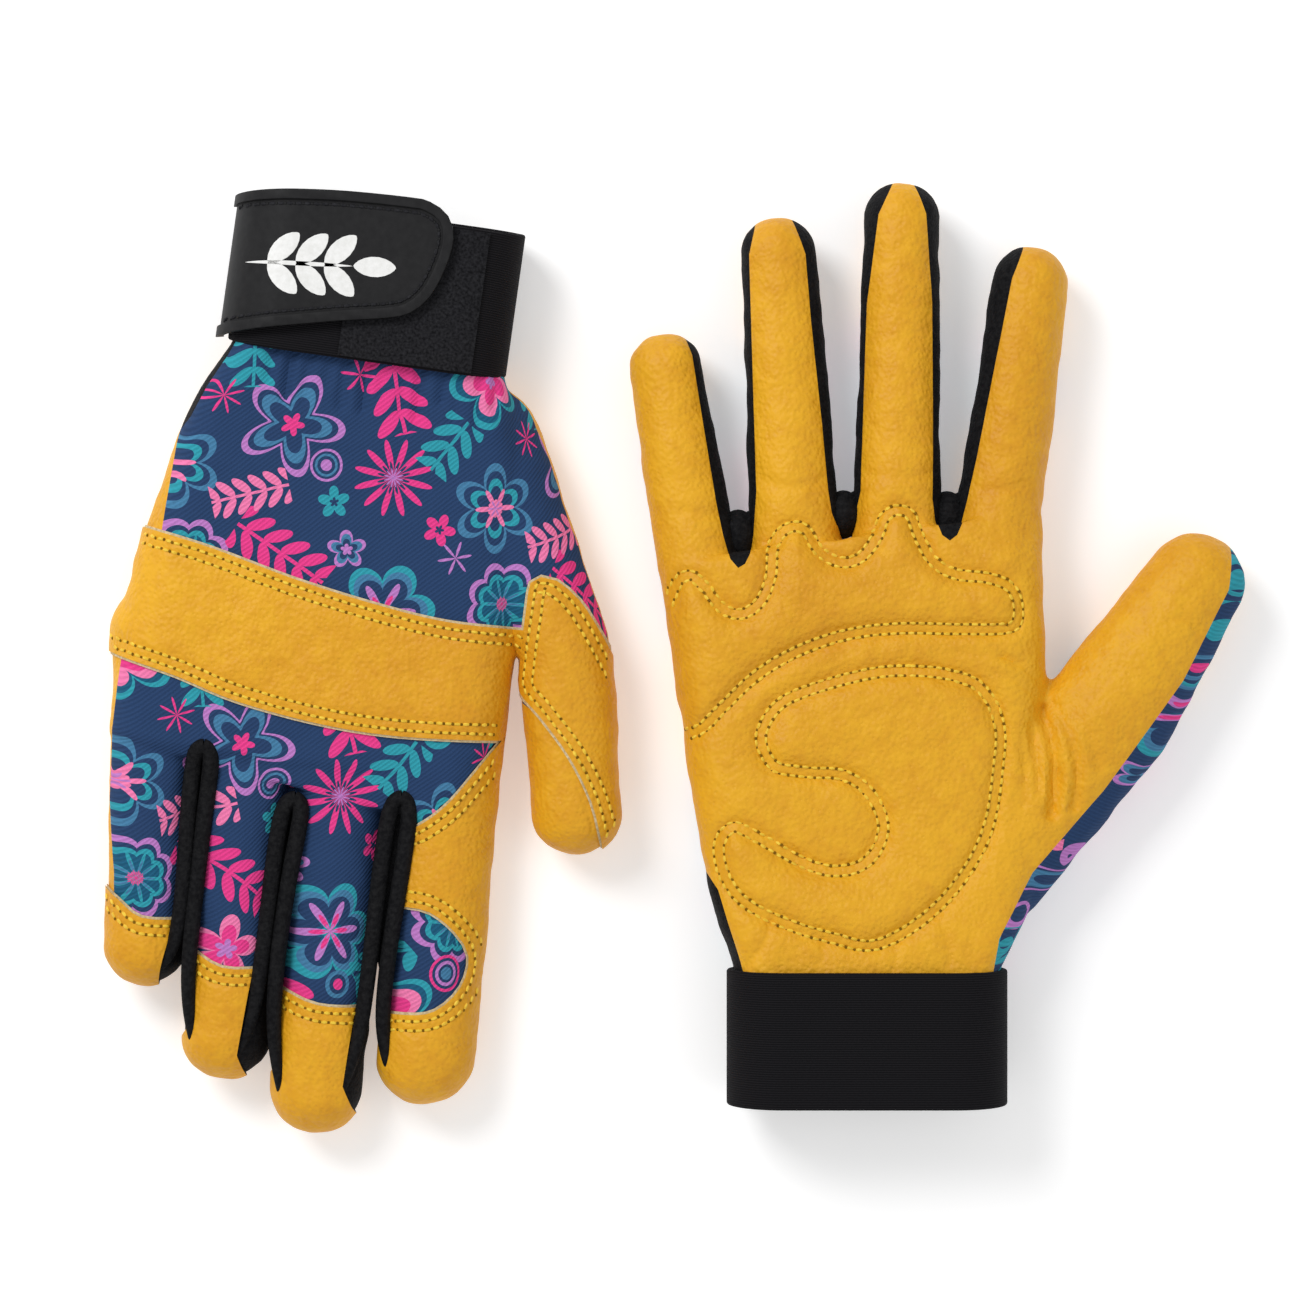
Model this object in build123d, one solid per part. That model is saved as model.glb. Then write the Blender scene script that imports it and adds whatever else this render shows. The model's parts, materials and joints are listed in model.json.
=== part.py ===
"""A pair of leather-palm gardening gloves, lying side by side.

Each glove is first built palm up in its own frame: X towards the thumb, Y from the cuff to the fingertips,
Z up out of the palm, with the origin in the middle of the cuff's open end. The rest glove stays palm up;
the other is turned over so that the back of the hand shows. Millimetres throughout.
"""

import os
from dataclasses import dataclass, field
from math import cos, radians, sin, tan

from build123d import *

# ---- sheet thicknesses and clearances ----
SHELL = 1.4  # leather, and fabric with its tricot backing
OVERLAY = 1.2  # leather sewn on top of the back fabric
CUFF_WALL = 2.4  # folded elastic band
PAD = 3.0  # foam sewn behind the palm leather
LOOP = 0.6  # loop pile patch
HOOK = 0.6  # hook patch under the strap tab
TAB = 1.8  # moulded strap tab
GRIP_GAP = 0.15  # between the pressed hook and loop
KNUCKLE_GAP = 0.4  # between a finger tube and the hand at the knuckle
FINGER_GAP = 0.4  # least clearance between a thumb and the hand

# ---- the filled hand ----
HAND_DEPTH = 24.0  # from the back of the hand to the palm
SIDE_ROUND = 11.0  # rounding of the hand's long edges
SEAM_HEIGHT = 10.0  # where the palm leather meets the back fabric
PALM_Z = HAND_DEPTH

# ---- cuff and strap ----
CUFF_WIDTH = 70.0
CUFF_DEPTH = 28.0
CUFF_HEIGHT = 34.0
TAB_END_X = 14.0  # free end of the strap tab
HOOK_START_X = -6.0
LOOP_END_X = 20.0
TAB_MARGIN = 2.0  # tab edge to cuff edge
STRAP_ARC_CENTRE_X = -(CUFF_WIDTH - CUFF_DEPTH) / 2

# ---- finger tubes ----
PALMAR, THUMB_SIDE, BACK, PINKY_SIDE = 270.0, 0.0, 90.0, 180.0
STRIP_HALF_ANGLE = 50.0  # front and back strips; the side gussets take what is left


@dataclass
class Finger:
    """One finger tube: its knuckle point, lean towards the pinky in degrees, and sizes."""

    name: str
    x: float
    y: float
    lean: float
    length: float
    base_radius: float
    tip_radius: float
    cap_start: float  # where the leather tip cap begins on the back
    half_pitch: float  # half of the knuckle opening that it stands on
    gussets: tuple  # the sides that carry a black stretch gusset

    @property
    def along(self):
        return Vector(-sin(radians(self.lean)), cos(radians(self.lean)), 0)

    @property
    def across(self):
        return Vector(cos(radians(self.lean)), sin(radians(self.lean)), 0)

    def knuckle(self, side, forward=0.0):
        """End of the knuckle line: side is -1 towards the pinky and 1 towards the thumb."""
        point = Vector(self.x, self.y, 0) + self.across * (side * self.half_pitch)
        return point + self.along * forward


@dataclass
class Glove:
    """What differs between the two gloves as they lie."""

    prefix: str
    fingers: list
    finger_palm_z: float  # height of the fingers' palm side
    cuff_z: float  # middle of the cuff
    cuff_slant: float  # degrees that the cuff's ends lean forward at the palm
    hand_outlines: list  # palm and thumb root, each as (x, y, corner radius)
    thumb_outline: list
    thumb_round: float  # rounding of the thumb's long edges
    thumb_depth: float
    thumb_z: float  # lowest point of the thumb
    thumb_base: tuple  # inner and outer end of the thumb's base line
    band: list = field(default_factory=list)


INNER_GUSSETS = (THUMB_SIDE, PINKY_SIDE)

PALM_UP = Glove(
    prefix="gloveB_",
    fingers=[
        Finger("pinky", -41.9, 135.3, 9.9, 58.0, 10.8, 9.6, 38.0, 11.0, (THUMB_SIDE,)),
        Finger("ring", -17.8, 144.5, 3.3, 77.8, 11.4, 9.6, 48.0, 12.0, INNER_GUSSETS),
        Finger("middle", 7.8, 144.7, -1.0, 86.0, 11.2, 9.6, 54.0, 11.8, INNER_GUSSETS),
        Finger("index", 32.6, 142.0, -7.7, 73.5, 11.4, 9.6, 50.0, 12.0, (PINKY_SIDE,)),
    ],
    finger_palm_z=22.4,
    cuff_z=16.0,
    cuff_slant=0.0,
    hand_outlines=[
        [(-35, 14, 13), (-35, 34, 40), (-40.5, 58, 60), (-46, 98, 60), (-54.5, 140, 60), (-57, 176, 13),
         (48, 176, 13), (44.4, 142, 40), (44.2, 60, 30), (35, 34, 30), (35, 14, 13)],
        [(20, 72, 13), (63.5, 127, 13), (90, 115, 13), (75.3, 87.5, 20), (48.5, 56, 20), (30, 30, 13)],
    ],
    thumb_outline=[(40, 97.7, 0), (68.6, 76.1, 0), (99.5, 133.7, 12), (79.9, 147.5, 12)],
    thumb_round=11.0,
    thumb_depth=24.0,
    thumb_z=0.0,
    thumb_base=((46.9, 107.4), (75.3, 87.5)),
    band=[(-62, 80), (-32, 88.5), (5, 93.4), (44, 94), (44, 124), (17, 126), (-22, 123), (-62, 111)],
)

BACK_UP = Glove(
    prefix="gloveA_",
    fingers=[
        Finger("pinky", -40.0, 135.0, -5.5, 61.5, 10.6, 9.4, 43.0, 11.0, (THUMB_SIDE,)),
        Finger("ring", -15.8, 144.5, -3.9, 72.3, 11.2, 9.8, 45.0, 11.6, INNER_GUSSETS),
        Finger("middle", 8.6, 144.5, -3.5, 82.3, 12.0, 10.8, 50.0, 12.4, INNER_GUSSETS),
        Finger("index", 34.2, 141.0, -3.5, 75.2, 12.0, 11.0, 52.0, 12.4, (PINKY_SIDE,)),
    ],
    finger_palm_z=24.0,
    cuff_z=8.6,
    cuff_slant=-20.0,
    hand_outlines=[
        [(-36, 8, 13), (-36, 34, 20), (-46, 61, 20), (-52.5, 92, 20), (-56, 176, 13),
         (50, 176, 13), (46.9, 138, 20), (46, 61, 20), (36, 34, 20), (36, 8, 13)],
        [(22, 66, 13), (47, 122, 13), (79, 116, 13), (68.5, 94.2, 40), (56, 74, 60), (30, 28, 13)],
    ],
    thumb_outline=[(47.5, 88, 0), (65, 84.8, 0), (77.5, 122, 30), (78.5, 150.5, 10), (58, 151, 10.5), (47.6, 125, 30)],
    thumb_round=9.5,
    thumb_depth=24.0,
    thumb_z=0.0,
    thumb_base=((47.5, 98.0), (68.5, 94.2)),
    band=[(-66, 76), (-46.8, 82.5), (-14.6, 91.3), (23.9, 94.3), (46, 94.3), (46, 124.4), (17, 126.3), (-22.6, 123.3), (-66, 108)],
)

# ---- how the pair lies ----
PALM_UP_AT = Vector(48.5, -111.9, 1.2)
BACK_UP_AT = Vector(-71.7, 107.6, 24.0)
BACK_UP_TURN = -8.0


def block(x0, x1, y0, y1, z0, z1):
    """An axis-aligned box between two corners."""
    return Pos((x0 + x1) / 2, (y0 + y1) / 2, (z0 + z1) / 2) * Box(x1 - x0, y1 - y0, z1 - z0)


def rounded_face(outline):
    """A flat face from (x, y, corner radius) points."""
    corners = [(x, y) for x, y, _ in outline]
    return make_face(FilletPolyline(*corners, radius=[r for _, _, r in outline], close=True))


def prism(points, z0, z1):
    """A straight-sided block standing on a polygon."""
    return Pos(0, 0, z0) * extrude(make_face(Polyline(*points, close=True)), z1 - z0)


def pillow(face, z0, z1, rounding):
    """A flat-topped body on an outline, with its upper and lower edges rounded."""
    body = Pos(0, 0, z0) * extrude(face, z1 - z0)
    edges = [e for e in body.edges() if abs(e.center().Z - z0) < 1e-4 or abs(e.center().Z - z1) < 1e-4]
    return fillet(edges, rounding)


def grown(face, amount):
    """The same outline moved outwards, or inwards when the amount is negative."""
    moved = offset(face, amount)
    return Face(moved.faces()[0].outer_wire())


def pillows(outlines, z0, z1, rounding, grow):
    """One body over several overlapping outlines, moved outwards by grow on every side."""
    body = Part()
    for outline in outlines:
        face = rounded_face(outline)
        body += pillow(grown(face, grow) if grow else face, z0 - grow, z1 + grow, rounding + grow)
    return body


def pillow_layer(outlines, z0, z1, rounding, inner, outer):
    """The layer of a pillow between two offsets from its surface."""
    return pillows(outlines, z0, z1, rounding, outer) - pillows(outlines, z0, z1, rounding, inner)


def stadium_layer(glove, inner, outer, x0, x1, y0, y1):
    """Part of a layer wrapped round the back of the cuff, between two offsets from the cuff's surface."""
    def stadium(extra):
        width, depth = CUFF_WIDTH + 2 * extra, CUFF_DEPTH + 2 * extra
        section = Plane.XZ * Pos(0, glove.cuff_z) * SlotOverall(width, depth)
        return Pos(0, -60, 0) * extrude(section, 200, both=True)

    layer = stadium(outer) - stadium(inner)
    back_half = block(x0, x1, -80, 120, -60, glove.cuff_z)
    return layer & back_half & between_slants(glove, y0, y1)


def between_slants(glove, y0, y1):
    """The slab between two parallel planes across the glove, leaning as the cuff's ends lean."""
    lean = tan(radians(glove.cuff_slant))
    low, high = -80.0, 120.0

    def at(y, z):
        return (y + (z - glove.cuff_z) * lean, z)

    side = Plane.YZ * make_face(Polyline(at(y0, low), at(y1, low), at(y1, high), at(y0, high), close=True))
    return extrude(side, 150, both=True)


# ---- hand ----


def beyond_knuckles(glove):
    """Everything on the finger side of the stepped knuckle line."""
    line = []
    for finger in glove.fingers:
        for side in (-1, 1):
            point = finger.knuckle(side, -KNUCKLE_GAP / 2)
            line.append((point.X, point.Y))
    first, last = line[0], line[-1]
    outer = [(90, last[1] - 3), (90, 260), (-90, 260), (-90, first[1] - 3)]
    return prism(line + outer, -20, 60)


def beyond_thumb_base(glove, start=0.0):
    """Everything on the thumb side of the thumb's base line, shifted along the thumb by start."""
    inner, outer = Vector(*glove.thumb_base[0]), Vector(*glove.thumb_base[1])
    across = (outer - inner).normalized()
    along = Vector(-across.Y, across.X, 0)
    first = inner + along * start - across * FINGER_GAP
    last = outer + along * start + across * 25
    points = [first, last, last + along * 90, Vector(first.X, last.Y + 90, 0)]
    return prism([(p.X, p.Y) for p in points], -20, 60)


def hand_shell(glove):
    """The hollow hand, open at the cuff, the knuckles and the thumb."""
    shell = pillow_layer(glove.hand_outlines, 0, PALM_Z, SIDE_ROUND, -SHELL, 0)
    shell = shell - beyond_knuckles(glove) - beyond_thumb_base(glove, -KNUCKLE_GAP / 2)
    return shell & between_slants(glove, CUFF_HEIGHT, 240)


def vent_region(glove):
    """The wedge of the pinky side, by the cuff, that the stretch vent fills."""
    middle = (glove.cuff_z + PALM_Z / 2) / 2
    wedge = make_face(Polyline((20, middle - 8), (CUFF_HEIGHT + 5, middle - 6), (CUFF_HEIGHT + 27, middle),
                               (CUFF_HEIGHT + 5, middle + 6), (20, middle + 8), close=True))
    return Pos(-60, 0, 0) * extrude(Plane.YZ * wedge, 35)


def palm_leather(shell, glove):
    """Front trank: the palm, wrapped up both sides to the seam."""
    return (shell & block(-90, 110, -20, 240, SEAM_HEIGHT, 60)) - vent_region(glove)


def back_fabric(shell, glove):
    """Printed stretch twill over the back of the hand."""
    return (shell & block(-90, 110, -20, 240, -20, SEAM_HEIGHT)) - vent_region(glove)


def wrist_vent(shell, glove):
    """Black stretch knit let into the pinky side so that the hand can pass the cuff."""
    return shell & vent_region(glove)


def knuckle_band(glove):
    """Wide leather band sewn over the back fabric behind the knuckles."""
    layer = pillows(glove.hand_outlines[:1], 0, PALM_Z, SIDE_ROUND, OVERLAY)
    layer -= pillows(glove.hand_outlines, 0, PALM_Z, SIDE_ROUND, 0)
    band = layer & prism(glove.band, -20, SEAM_HEIGHT)
    return band - beyond_thumb_base(glove, -KNUCKLE_GAP) - beyond_knuckles(glove)


def palm_pads():
    """Two foam pads stitched behind the palm leather: one across the knuckles, one on the heel."""
    top = PALM_Z - SHELL
    knuckle = [(-36.5, 111, 3), (-37.5, 125, 4), (-26, 121, 4), (-14, 133, 5), (6, 135, 5), (22, 126, 5),
               (32.5, 126, 4), (32.5, 116, 4), (0, 116, 30), (-28, 104, 8)]
    heel = [(-29, 58, 5), (-20, 46, 10), (12, 42, 14), (28, 62, 14), (30, 104, 10), (-14, 104, 14),
            (-24, 90, 8), (-16, 80, 6), (0, 78, 6), (-4, 64, 6)]
    return [Pos(0, 0, top - PAD) * extrude(rounded_face(outline), PAD) for outline in (knuckle, heel)]


def fork_gussets(glove):
    """The stretch webs at the forks between neighbouring fingers."""
    webs = []
    for left, right in zip(glove.fingers, glove.fingers[1:]):
        fork = min(left.knuckle(1).Y, right.knuckle(-1).Y) - KNUCKLE_GAP
        middle = (left.knuckle(1).X + right.knuckle(-1).X) / 2
        outline = [(middle - 2.6, fork, 0.5), (middle + 2.6, fork, 0.5), (middle, fork - 9, 0.8)]
        webs.append(Pos(0, 0, SHELL) * extrude(rounded_face(outline), HAND_DEPTH - 2 * SHELL))
    return webs


# ---- cuff and strap ----


def wrist_cuff(glove):
    """Elastic band round the wrist."""
    def stadium(extra):
        section = Plane.XZ * Pos(0, glove.cuff_z) * SlotOverall(CUFF_WIDTH + 2 * extra, CUFF_DEPTH + 2 * extra)
        return extrude(section, 200, both=True)

    return (stadium(0) - stadium(-CUFF_WALL)) & between_slants(glove, 0, CUFF_HEIGHT)


def loop_patch(glove):
    """Loop pile on the back of the cuff, where the strap tab lands."""
    y0, y1 = TAB_MARGIN, CUFF_HEIGHT - TAB_MARGIN
    return stadium_layer(glove, 0, LOOP, HOOK_START_X, LOOP_END_X, y0, y1)


def strap_anchor(glove):
    """The strap's sewn root, stitched down round the pinky side towards the palm."""
    inner = LOOP + GRIP_GAP + HOOK
    y0, y1 = TAB_MARGIN, CUFF_HEIGHT - TAB_MARGIN
    section = Plane.XZ * Pos(0, glove.cuff_z) * SlotOverall(CUFF_WIDTH + 2 * inner, CUFF_DEPTH + 2 * inner)
    core = Plane.XZ * Pos(0, glove.cuff_z) * SlotOverall(CUFF_WIDTH, CUFF_DEPTH)
    layer = extrude(section, 200, both=True) - extrude(core, 200, both=True)
    palm_half = block(-80, STRAP_ARC_CENTRE_X, -80, 120, glove.cuff_z + FINGER_GAP, 60)
    return layer & palm_half & between_slants(glove, y0, y1)


def strap_tab(glove):
    """Moulded tab that pulls across the back of the cuff, with a rounded free end."""
    inner = LOOP + GRIP_GAP + HOOK
    y0, y1 = TAB_MARGIN, CUFF_HEIGHT - TAB_MARGIN
    tab = stadium_layer(glove, inner, inner + TAB, -80, TAB_END_X, y0, y1)
    lift = -tan(radians(glove.cuff_slant)) * CUFF_DEPTH / 2
    outline = [(-60, y0 + lift, 0), (TAB_END_X, y0 + lift, 8), (TAB_END_X, y1 + lift, 14), (-60, y1 + lift, 0)]
    keep = Pos(0, 0, -60) * extrude(rounded_face(outline), 60 + glove.cuff_z)
    rounded_end = keep & block(TAB_END_X - 20, TAB_END_X, -80, 120, -60, 60)
    straight = block(-80, TAB_END_X - 20, -80, 120, -60, 60)
    return tab & (rounded_end + straight)


def strap_hook(glove):
    """Hook patch sewn under the free end of the tab."""
    inner = LOOP + GRIP_GAP
    y0, y1 = TAB_MARGIN + 4, CUFF_HEIGHT - TAB_MARGIN - 4
    return stadium_layer(glove, inner, inner + HOOK, HOOK_START_X, TAB_END_X - 6, y0, y1)


# ---- thumb ----


def thumb_parts(glove):
    """Thumb leather, its printed back and the leather patch sewn on the back of its end."""
    z0, z1 = glove.thumb_z, glove.thumb_z + glove.thumb_depth
    region = beyond_thumb_base(glove, KNUCKLE_GAP / 2)
    shell = pillow_layer([glove.thumb_outline], z0, z1, glove.thumb_round, -SHELL, 0) & region
    patch_start = beyond_thumb_base(glove, 24)
    seam = z0 + SEAM_HEIGHT
    front = shell & block(-90, 130, -20, 240, seam, 60)
    back = shell & block(-90, 130, -20, 240, -20, seam)
    return {"thumb_leather": front, "thumb_back_fabric": back - patch_start, "thumb_patch": back & patch_start}


# ---- fingers ----


def finger_profile(finger, start, end):
    """Half section of a finger's wall between two distances from the knuckle, in the XZ plane."""
    straight = finger.length - finger.tip_radius
    slope = (finger.base_radius - finger.tip_radius) / straight

    def wall(z, depth=0.0):
        return (finger.base_radius - slope * z - depth, z)

    if end < straight:
        points = [wall(start), wall(end), wall(end, SHELL), wall(start, SHELL)]
        return Plane.XZ * make_face(Polyline(*points, close=True))
    outer_arc = RadiusArc(wall(straight), (0, finger.length), -finger.tip_radius)
    inner_arc = RadiusArc((0, finger.length - SHELL), wall(straight, SHELL), finger.tip_radius - SHELL)
    rim = Polyline(wall(straight, SHELL), wall(start, SHELL), wall(start), wall(straight))
    pole = Line((0, finger.length), (0, finger.length - SHELL))
    return Plane.XZ * make_face([outer_arc, pole, inner_arc, rim])


def finger_strip(finger, start_angle, end_angle, start=KNUCKLE_GAP / 2, end=None):
    """A lengthwise strip of the finger tube between two angles round its axis."""
    profile = finger_profile(finger, start, finger.length if end is None else end)
    return Rot(0, 0, start_angle) * revolve(profile, Axis.Z, end_angle - start_angle)


def finger_frame(finger, glove):
    """Local Z along the finger, local X towards the thumb, local Y towards the back of the hand."""
    centre = Vector(finger.x, finger.y, glove.finger_palm_z - finger.base_radius)
    return Plane(origin=centre, x_dir=finger.across, z_dir=finger.along).location


def finger_parts(finger, glove):
    """Front leather, back fabric, tip cap and side gussets of one finger."""
    half = STRIP_HALF_ANGLE
    front_from, front_to = PALMAR - half, PALMAR + half
    if PINKY_SIDE not in finger.gussets:
        front_from = BACK + half
    if THUMB_SIDE not in finger.gussets:
        front_to = BACK - half + 360
    parts = {
        "front_leather": finger_strip(finger, front_from, front_to),
        "back_fabric": finger_strip(finger, BACK - half, BACK + half, end=finger.cap_start),
        "tip_cap": finger_strip(finger, BACK - half, BACK + half, start=finger.cap_start),
        "side_gussets": [finger_strip(finger, side - 90 + half, side + 90 - half) for side in finger.gussets],
    }
    place = finger_frame(finger, glove)
    named = {}
    for part, shape in parts.items():
        shapes = shape if isinstance(shape, list) else [shape]
        named[f"{finger.name}_{part}"] = [place * s for s in shapes]
    return named


# ---- the pair ----


def glove_parts(glove):
    """Every piece of one glove, palm up, in the glove's own frame."""
    shell = hand_shell(glove)
    parts = {
        "palm_leather": palm_leather(shell, glove),
        "back_fabric": back_fabric(shell, glove),
        "wrist_vent": wrist_vent(shell, glove),
        "knuckle_band": knuckle_band(glove),
        "palm_pads": palm_pads(),
        "fork_gussets": fork_gussets(glove),
        "wrist_cuff": wrist_cuff(glove),
        "loop_patch": loop_patch(glove),
        "strap_anchor": strap_anchor(glove),
        "strap_tab": strap_tab(glove),
        "strap_hook": strap_hook(glove),
    }
    parts.update(thumb_parts(glove))
    for finger in glove.fingers:
        parts.update(finger_parts(finger, glove))
    return parts


PALM_UP_PLACE = Location(PALM_UP_AT)
BACK_UP_PLACE = Location(BACK_UP_AT) * Rot(0, 0, BACK_UP_TURN) * Rot(180, 0, 0)


def export_pair():
    """Writes one STEP file per piece."""
    os.makedirs("parts", exist_ok=True)
    for glove, place in ((PALM_UP, PALM_UP_PLACE), (BACK_UP, BACK_UP_PLACE)):
        for name, shape in glove_parts(glove).items():
            shapes = shape if isinstance(shape, list) else [shape]
            solids = [place * solid for s in shapes for solid in s.solids()]
            export_step(Compound(children=solids), f"parts/{glove.prefix}{name}.step")


if __name__ == "__main__":
    export_pair()
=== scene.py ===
"""A pair of leather-palm gardening gloves lying flat, one with its back up and one with its palm up.

Each glove is modelled palm up in its own frame, in millimetres: X towards the thumb, Y towards the
fingertips and Z out of the palm, from the middle of the cuff's open end. It is then laid where the model is.
"""

import json
import math

import bpy
import numpy as np
from mathutils import Matrix, Vector
from mathutils.bvhtree import BVHTree


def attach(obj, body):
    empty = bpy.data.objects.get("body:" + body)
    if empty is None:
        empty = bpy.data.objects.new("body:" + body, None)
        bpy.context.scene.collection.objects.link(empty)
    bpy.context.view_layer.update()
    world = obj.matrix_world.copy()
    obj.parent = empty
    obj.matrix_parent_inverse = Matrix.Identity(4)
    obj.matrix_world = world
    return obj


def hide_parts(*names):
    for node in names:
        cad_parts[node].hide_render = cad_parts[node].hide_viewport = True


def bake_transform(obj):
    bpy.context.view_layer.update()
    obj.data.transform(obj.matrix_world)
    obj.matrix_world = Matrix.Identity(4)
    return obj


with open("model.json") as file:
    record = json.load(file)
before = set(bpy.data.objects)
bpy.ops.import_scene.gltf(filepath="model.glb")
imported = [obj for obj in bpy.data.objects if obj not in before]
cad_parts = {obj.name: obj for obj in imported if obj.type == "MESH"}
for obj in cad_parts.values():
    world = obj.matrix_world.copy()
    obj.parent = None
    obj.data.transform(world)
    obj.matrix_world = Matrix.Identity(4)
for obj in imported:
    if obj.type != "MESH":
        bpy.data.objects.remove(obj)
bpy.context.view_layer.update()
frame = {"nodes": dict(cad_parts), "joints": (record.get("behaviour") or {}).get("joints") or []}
MM = 0.001
scene = bpy.context.scene

# ---- Studio ----
# A plain white table, a camera straight above the pair, and large soft lights all round.
# The lights leave only faint shadows, so the gloves read against the white.

CAMERA_HEIGHT = 0.918
CAMERA_AT = (-0.0056, 0.0016)


def area_light(name, place, size, power, target=(0, 0, 0)):
    """A square soft light that faces the target."""
    bpy.ops.object.light_add(type="AREA", location=place)
    light = bpy.context.object
    light.name = name
    light.data.size = size
    light.data.energy = power
    light.rotation_euler = (Vector(target) - Vector(place)).to_track_quat("-Z", "Y").to_euler()


bpy.ops.object.camera_add(location=(*CAMERA_AT, CAMERA_HEIGHT), rotation=(0, 0, 0))
scene.camera = bpy.context.object
scene.camera.data.lens = 100
scene.camera.data.sensor_width = 36
scene.view_settings.view_transform = "Standard"

bpy.ops.mesh.primitive_plane_add(size=6, location=(0, 0, 0))
table = bpy.context.object
table.name = "table"
paper = bpy.data.materials.new("white table")
paper.use_nodes = True
paper.node_tree.nodes["Principled BSDF"].inputs["Base Color"].default_value = (0.9, 0.9, 0.9, 1)
paper.node_tree.nodes["Principled BSDF"].inputs["Roughness"].default_value = 0.9
paper.node_tree.nodes["Principled BSDF"].inputs["Emission Color"].default_value = (1, 1, 1, 1)
paper.node_tree.nodes["Principled BSDF"].inputs["Emission Strength"].default_value = 0.3
table.data.materials.append(paper)

area_light("key", (-0.55, 0.6, 0.85), 0.45, 7.0)
area_light("fill", (0.8, -0.2, 0.9), 0.9, 1.6)
area_light("front", (-0.1, -0.9, 0.8), 0.9, 1.3)
sky = bpy.data.worlds.new("studio")
scene.world = sky
sky.use_nodes = True
sky.node_tree.nodes["Background"].inputs["Color"].default_value = (1, 1, 1, 1)
sky.node_tree.nodes["Background"].inputs["Strength"].default_value = 0.5

# ---- Hand shapes ----
# Each glove is cut to a soft, slightly stuffed hand: a palm slab, four fingers and a thumb.
# The parts are welded into one skin and eased, and the panels are cut from that skin later.

SKIN_CELL = 0.8
FINGERS = ("pinky", "ring", "middle", "index")
# finger: base x, base y, lean, length, half-width at the base and at the tip
# palm: rings of y, left, right, lowest and highest
GLOVES = {
    "gloveB": {
        "up": 1,
        "cuff_middle": 16.0,
        "cuff_slant": 0.0,
        "finger_middle": 11.2,
        "finger_tall": (11.2, 9.3),
        "fingers": {
            "pinky": (-41.9, 135.3, 9.9, 58.5, 10.9, 9.3),
            "ring": (-17.8, 144.5, 3.3, 77.6, 12.0, 9.7),
            "middle": (7.8, 144.7, -1.0, 86.0, 11.8, 9.5),
            "index": (32.6, 142.0, -7.7, 73.5, 12.0, 9.5),
        },
        "palm": [
            (12, -32, 32, 5.0, 27.0), (34, -33.0, 33.2, 4.0, 27.4), (47, -37.4, 40.0, 1.4, 26.2),
            (62, -41.2, 44.0, 0.3, 24.6),
            (98, -46.2, 45.6, 0, 24), (120, -50.2, 44.6, 0, 24), (135, -51.6, 44.3, 0.4, 23.4),
            (147, -50.4, 44.6, 1.6, 21.4),
        ],
        "thumb": [
            ((23, 56), (61.1, 97.5), (19, 16.4), (12, 12)),
            ((61.1, 97.5), (82.6, 130.6), (16.4, 12.4), (12, 10.4)),
        ],
        "thumb_middle": 12.0,
        "thumb_base": ((46.9, 107.4), (75.3, 87.5)),
    },
    "gloveA": {
        "up": -1,
        "cuff_middle": 8.6,
        "cuff_slant": -20.0,
        "finger_middle": 13.0,
        "finger_tall": (10.9, 10.0),
        "fingers": {
            "pinky": (-39.4, 135.0, -5.5, 61.5, 12.1, 10.0),
            "ring": (-15.8, 144.5, -3.9, 72.3, 12.4, 10.8),
            "middle": (8.6, 144.5, -3.5, 82.3, 12.8, 11.4),
            "index": (34.6, 141.0, -3.5, 75.2, 13.4, 11.8),
        },
        "palm": [
            (12, -32, 32, -2.0, 19.6), (34, -34.0, 34.8, -2.8, 20.4), (47, -40.5, 41.5, -1.5, 23.2),
            (61, -45.2, 46.5, -0.3, 24),
            (92, -50.0, 46.4, 0, 24), (120, -52.0, 46.0, 0, 24), (135, -51.2, 46.0, 0.8, 23.6),
            (147, -49.4, 46.2, 2.6, 22.8),
        ],
        "thumb": [
            ((30, 52), (58.4, 97), (17, 11.4), (12, 11.5)),
            ((58.4, 97), (67.2, 138.5), (11.4, 11.2), (11.5, 10.2)),
        ],
        "thumb_middle": 12.6,
        "thumb_base": ((47.5, 98.0), (68.5, 94.2)),
    },
}
JOINTS = {joint["name"]: joint for joint in frame["joints"]}


def activate(obj):
    """Makes obj the only selected object."""
    bpy.ops.object.select_all(action="DESELECT")
    obj.select_set(True)
    bpy.context.view_layer.objects.active = obj


def pick(obj, test):
    """Enters edit mode with only the vertices selected that pass the test."""
    activate(obj)
    bpy.ops.object.mode_set(mode="EDIT")
    scene.tool_settings.mesh_select_mode = (True, False, False)
    bpy.ops.mesh.select_all(action="DESELECT")
    bpy.ops.object.mode_set(mode="OBJECT")
    for vertex in obj.data.vertices:
        vertex.select = test(vertex.co)
    bpy.ops.object.mode_set(mode="EDIT")


def finish_edit():
    """Leaves edit mode."""
    bpy.ops.object.mode_set(mode="OBJECT")


def modify(obj, kind, **settings):
    """Adds a modifier and applies it."""
    activate(obj)
    modifier = obj.modifiers.new(kind.lower(), kind)
    for key, value in settings.items():
        setattr(modifier, key, value)
    bpy.ops.object.modifier_apply(modifier=modifier.name)


def duplicate(obj, name):
    """A copy of obj with its own mesh."""
    twin = obj.copy()
    twin.data = obj.data.copy()
    twin.name = name
    scene.collection.objects.link(twin)
    return twin


def discard(*objects):
    """Deletes construction objects."""
    for obj in objects:
        bpy.data.objects.remove(obj)


def points_of(obj):
    """Vertex positions as an array, in metres."""
    co = np.empty(len(obj.data.vertices) * 3)
    obj.data.vertices.foreach_get("co", co)
    return co.reshape(-1, 3)


def move_points(obj, co):
    """Puts the vertices at new positions."""
    obj.data.vertices.foreach_set("co", co.ravel())
    obj.data.update()


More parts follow.
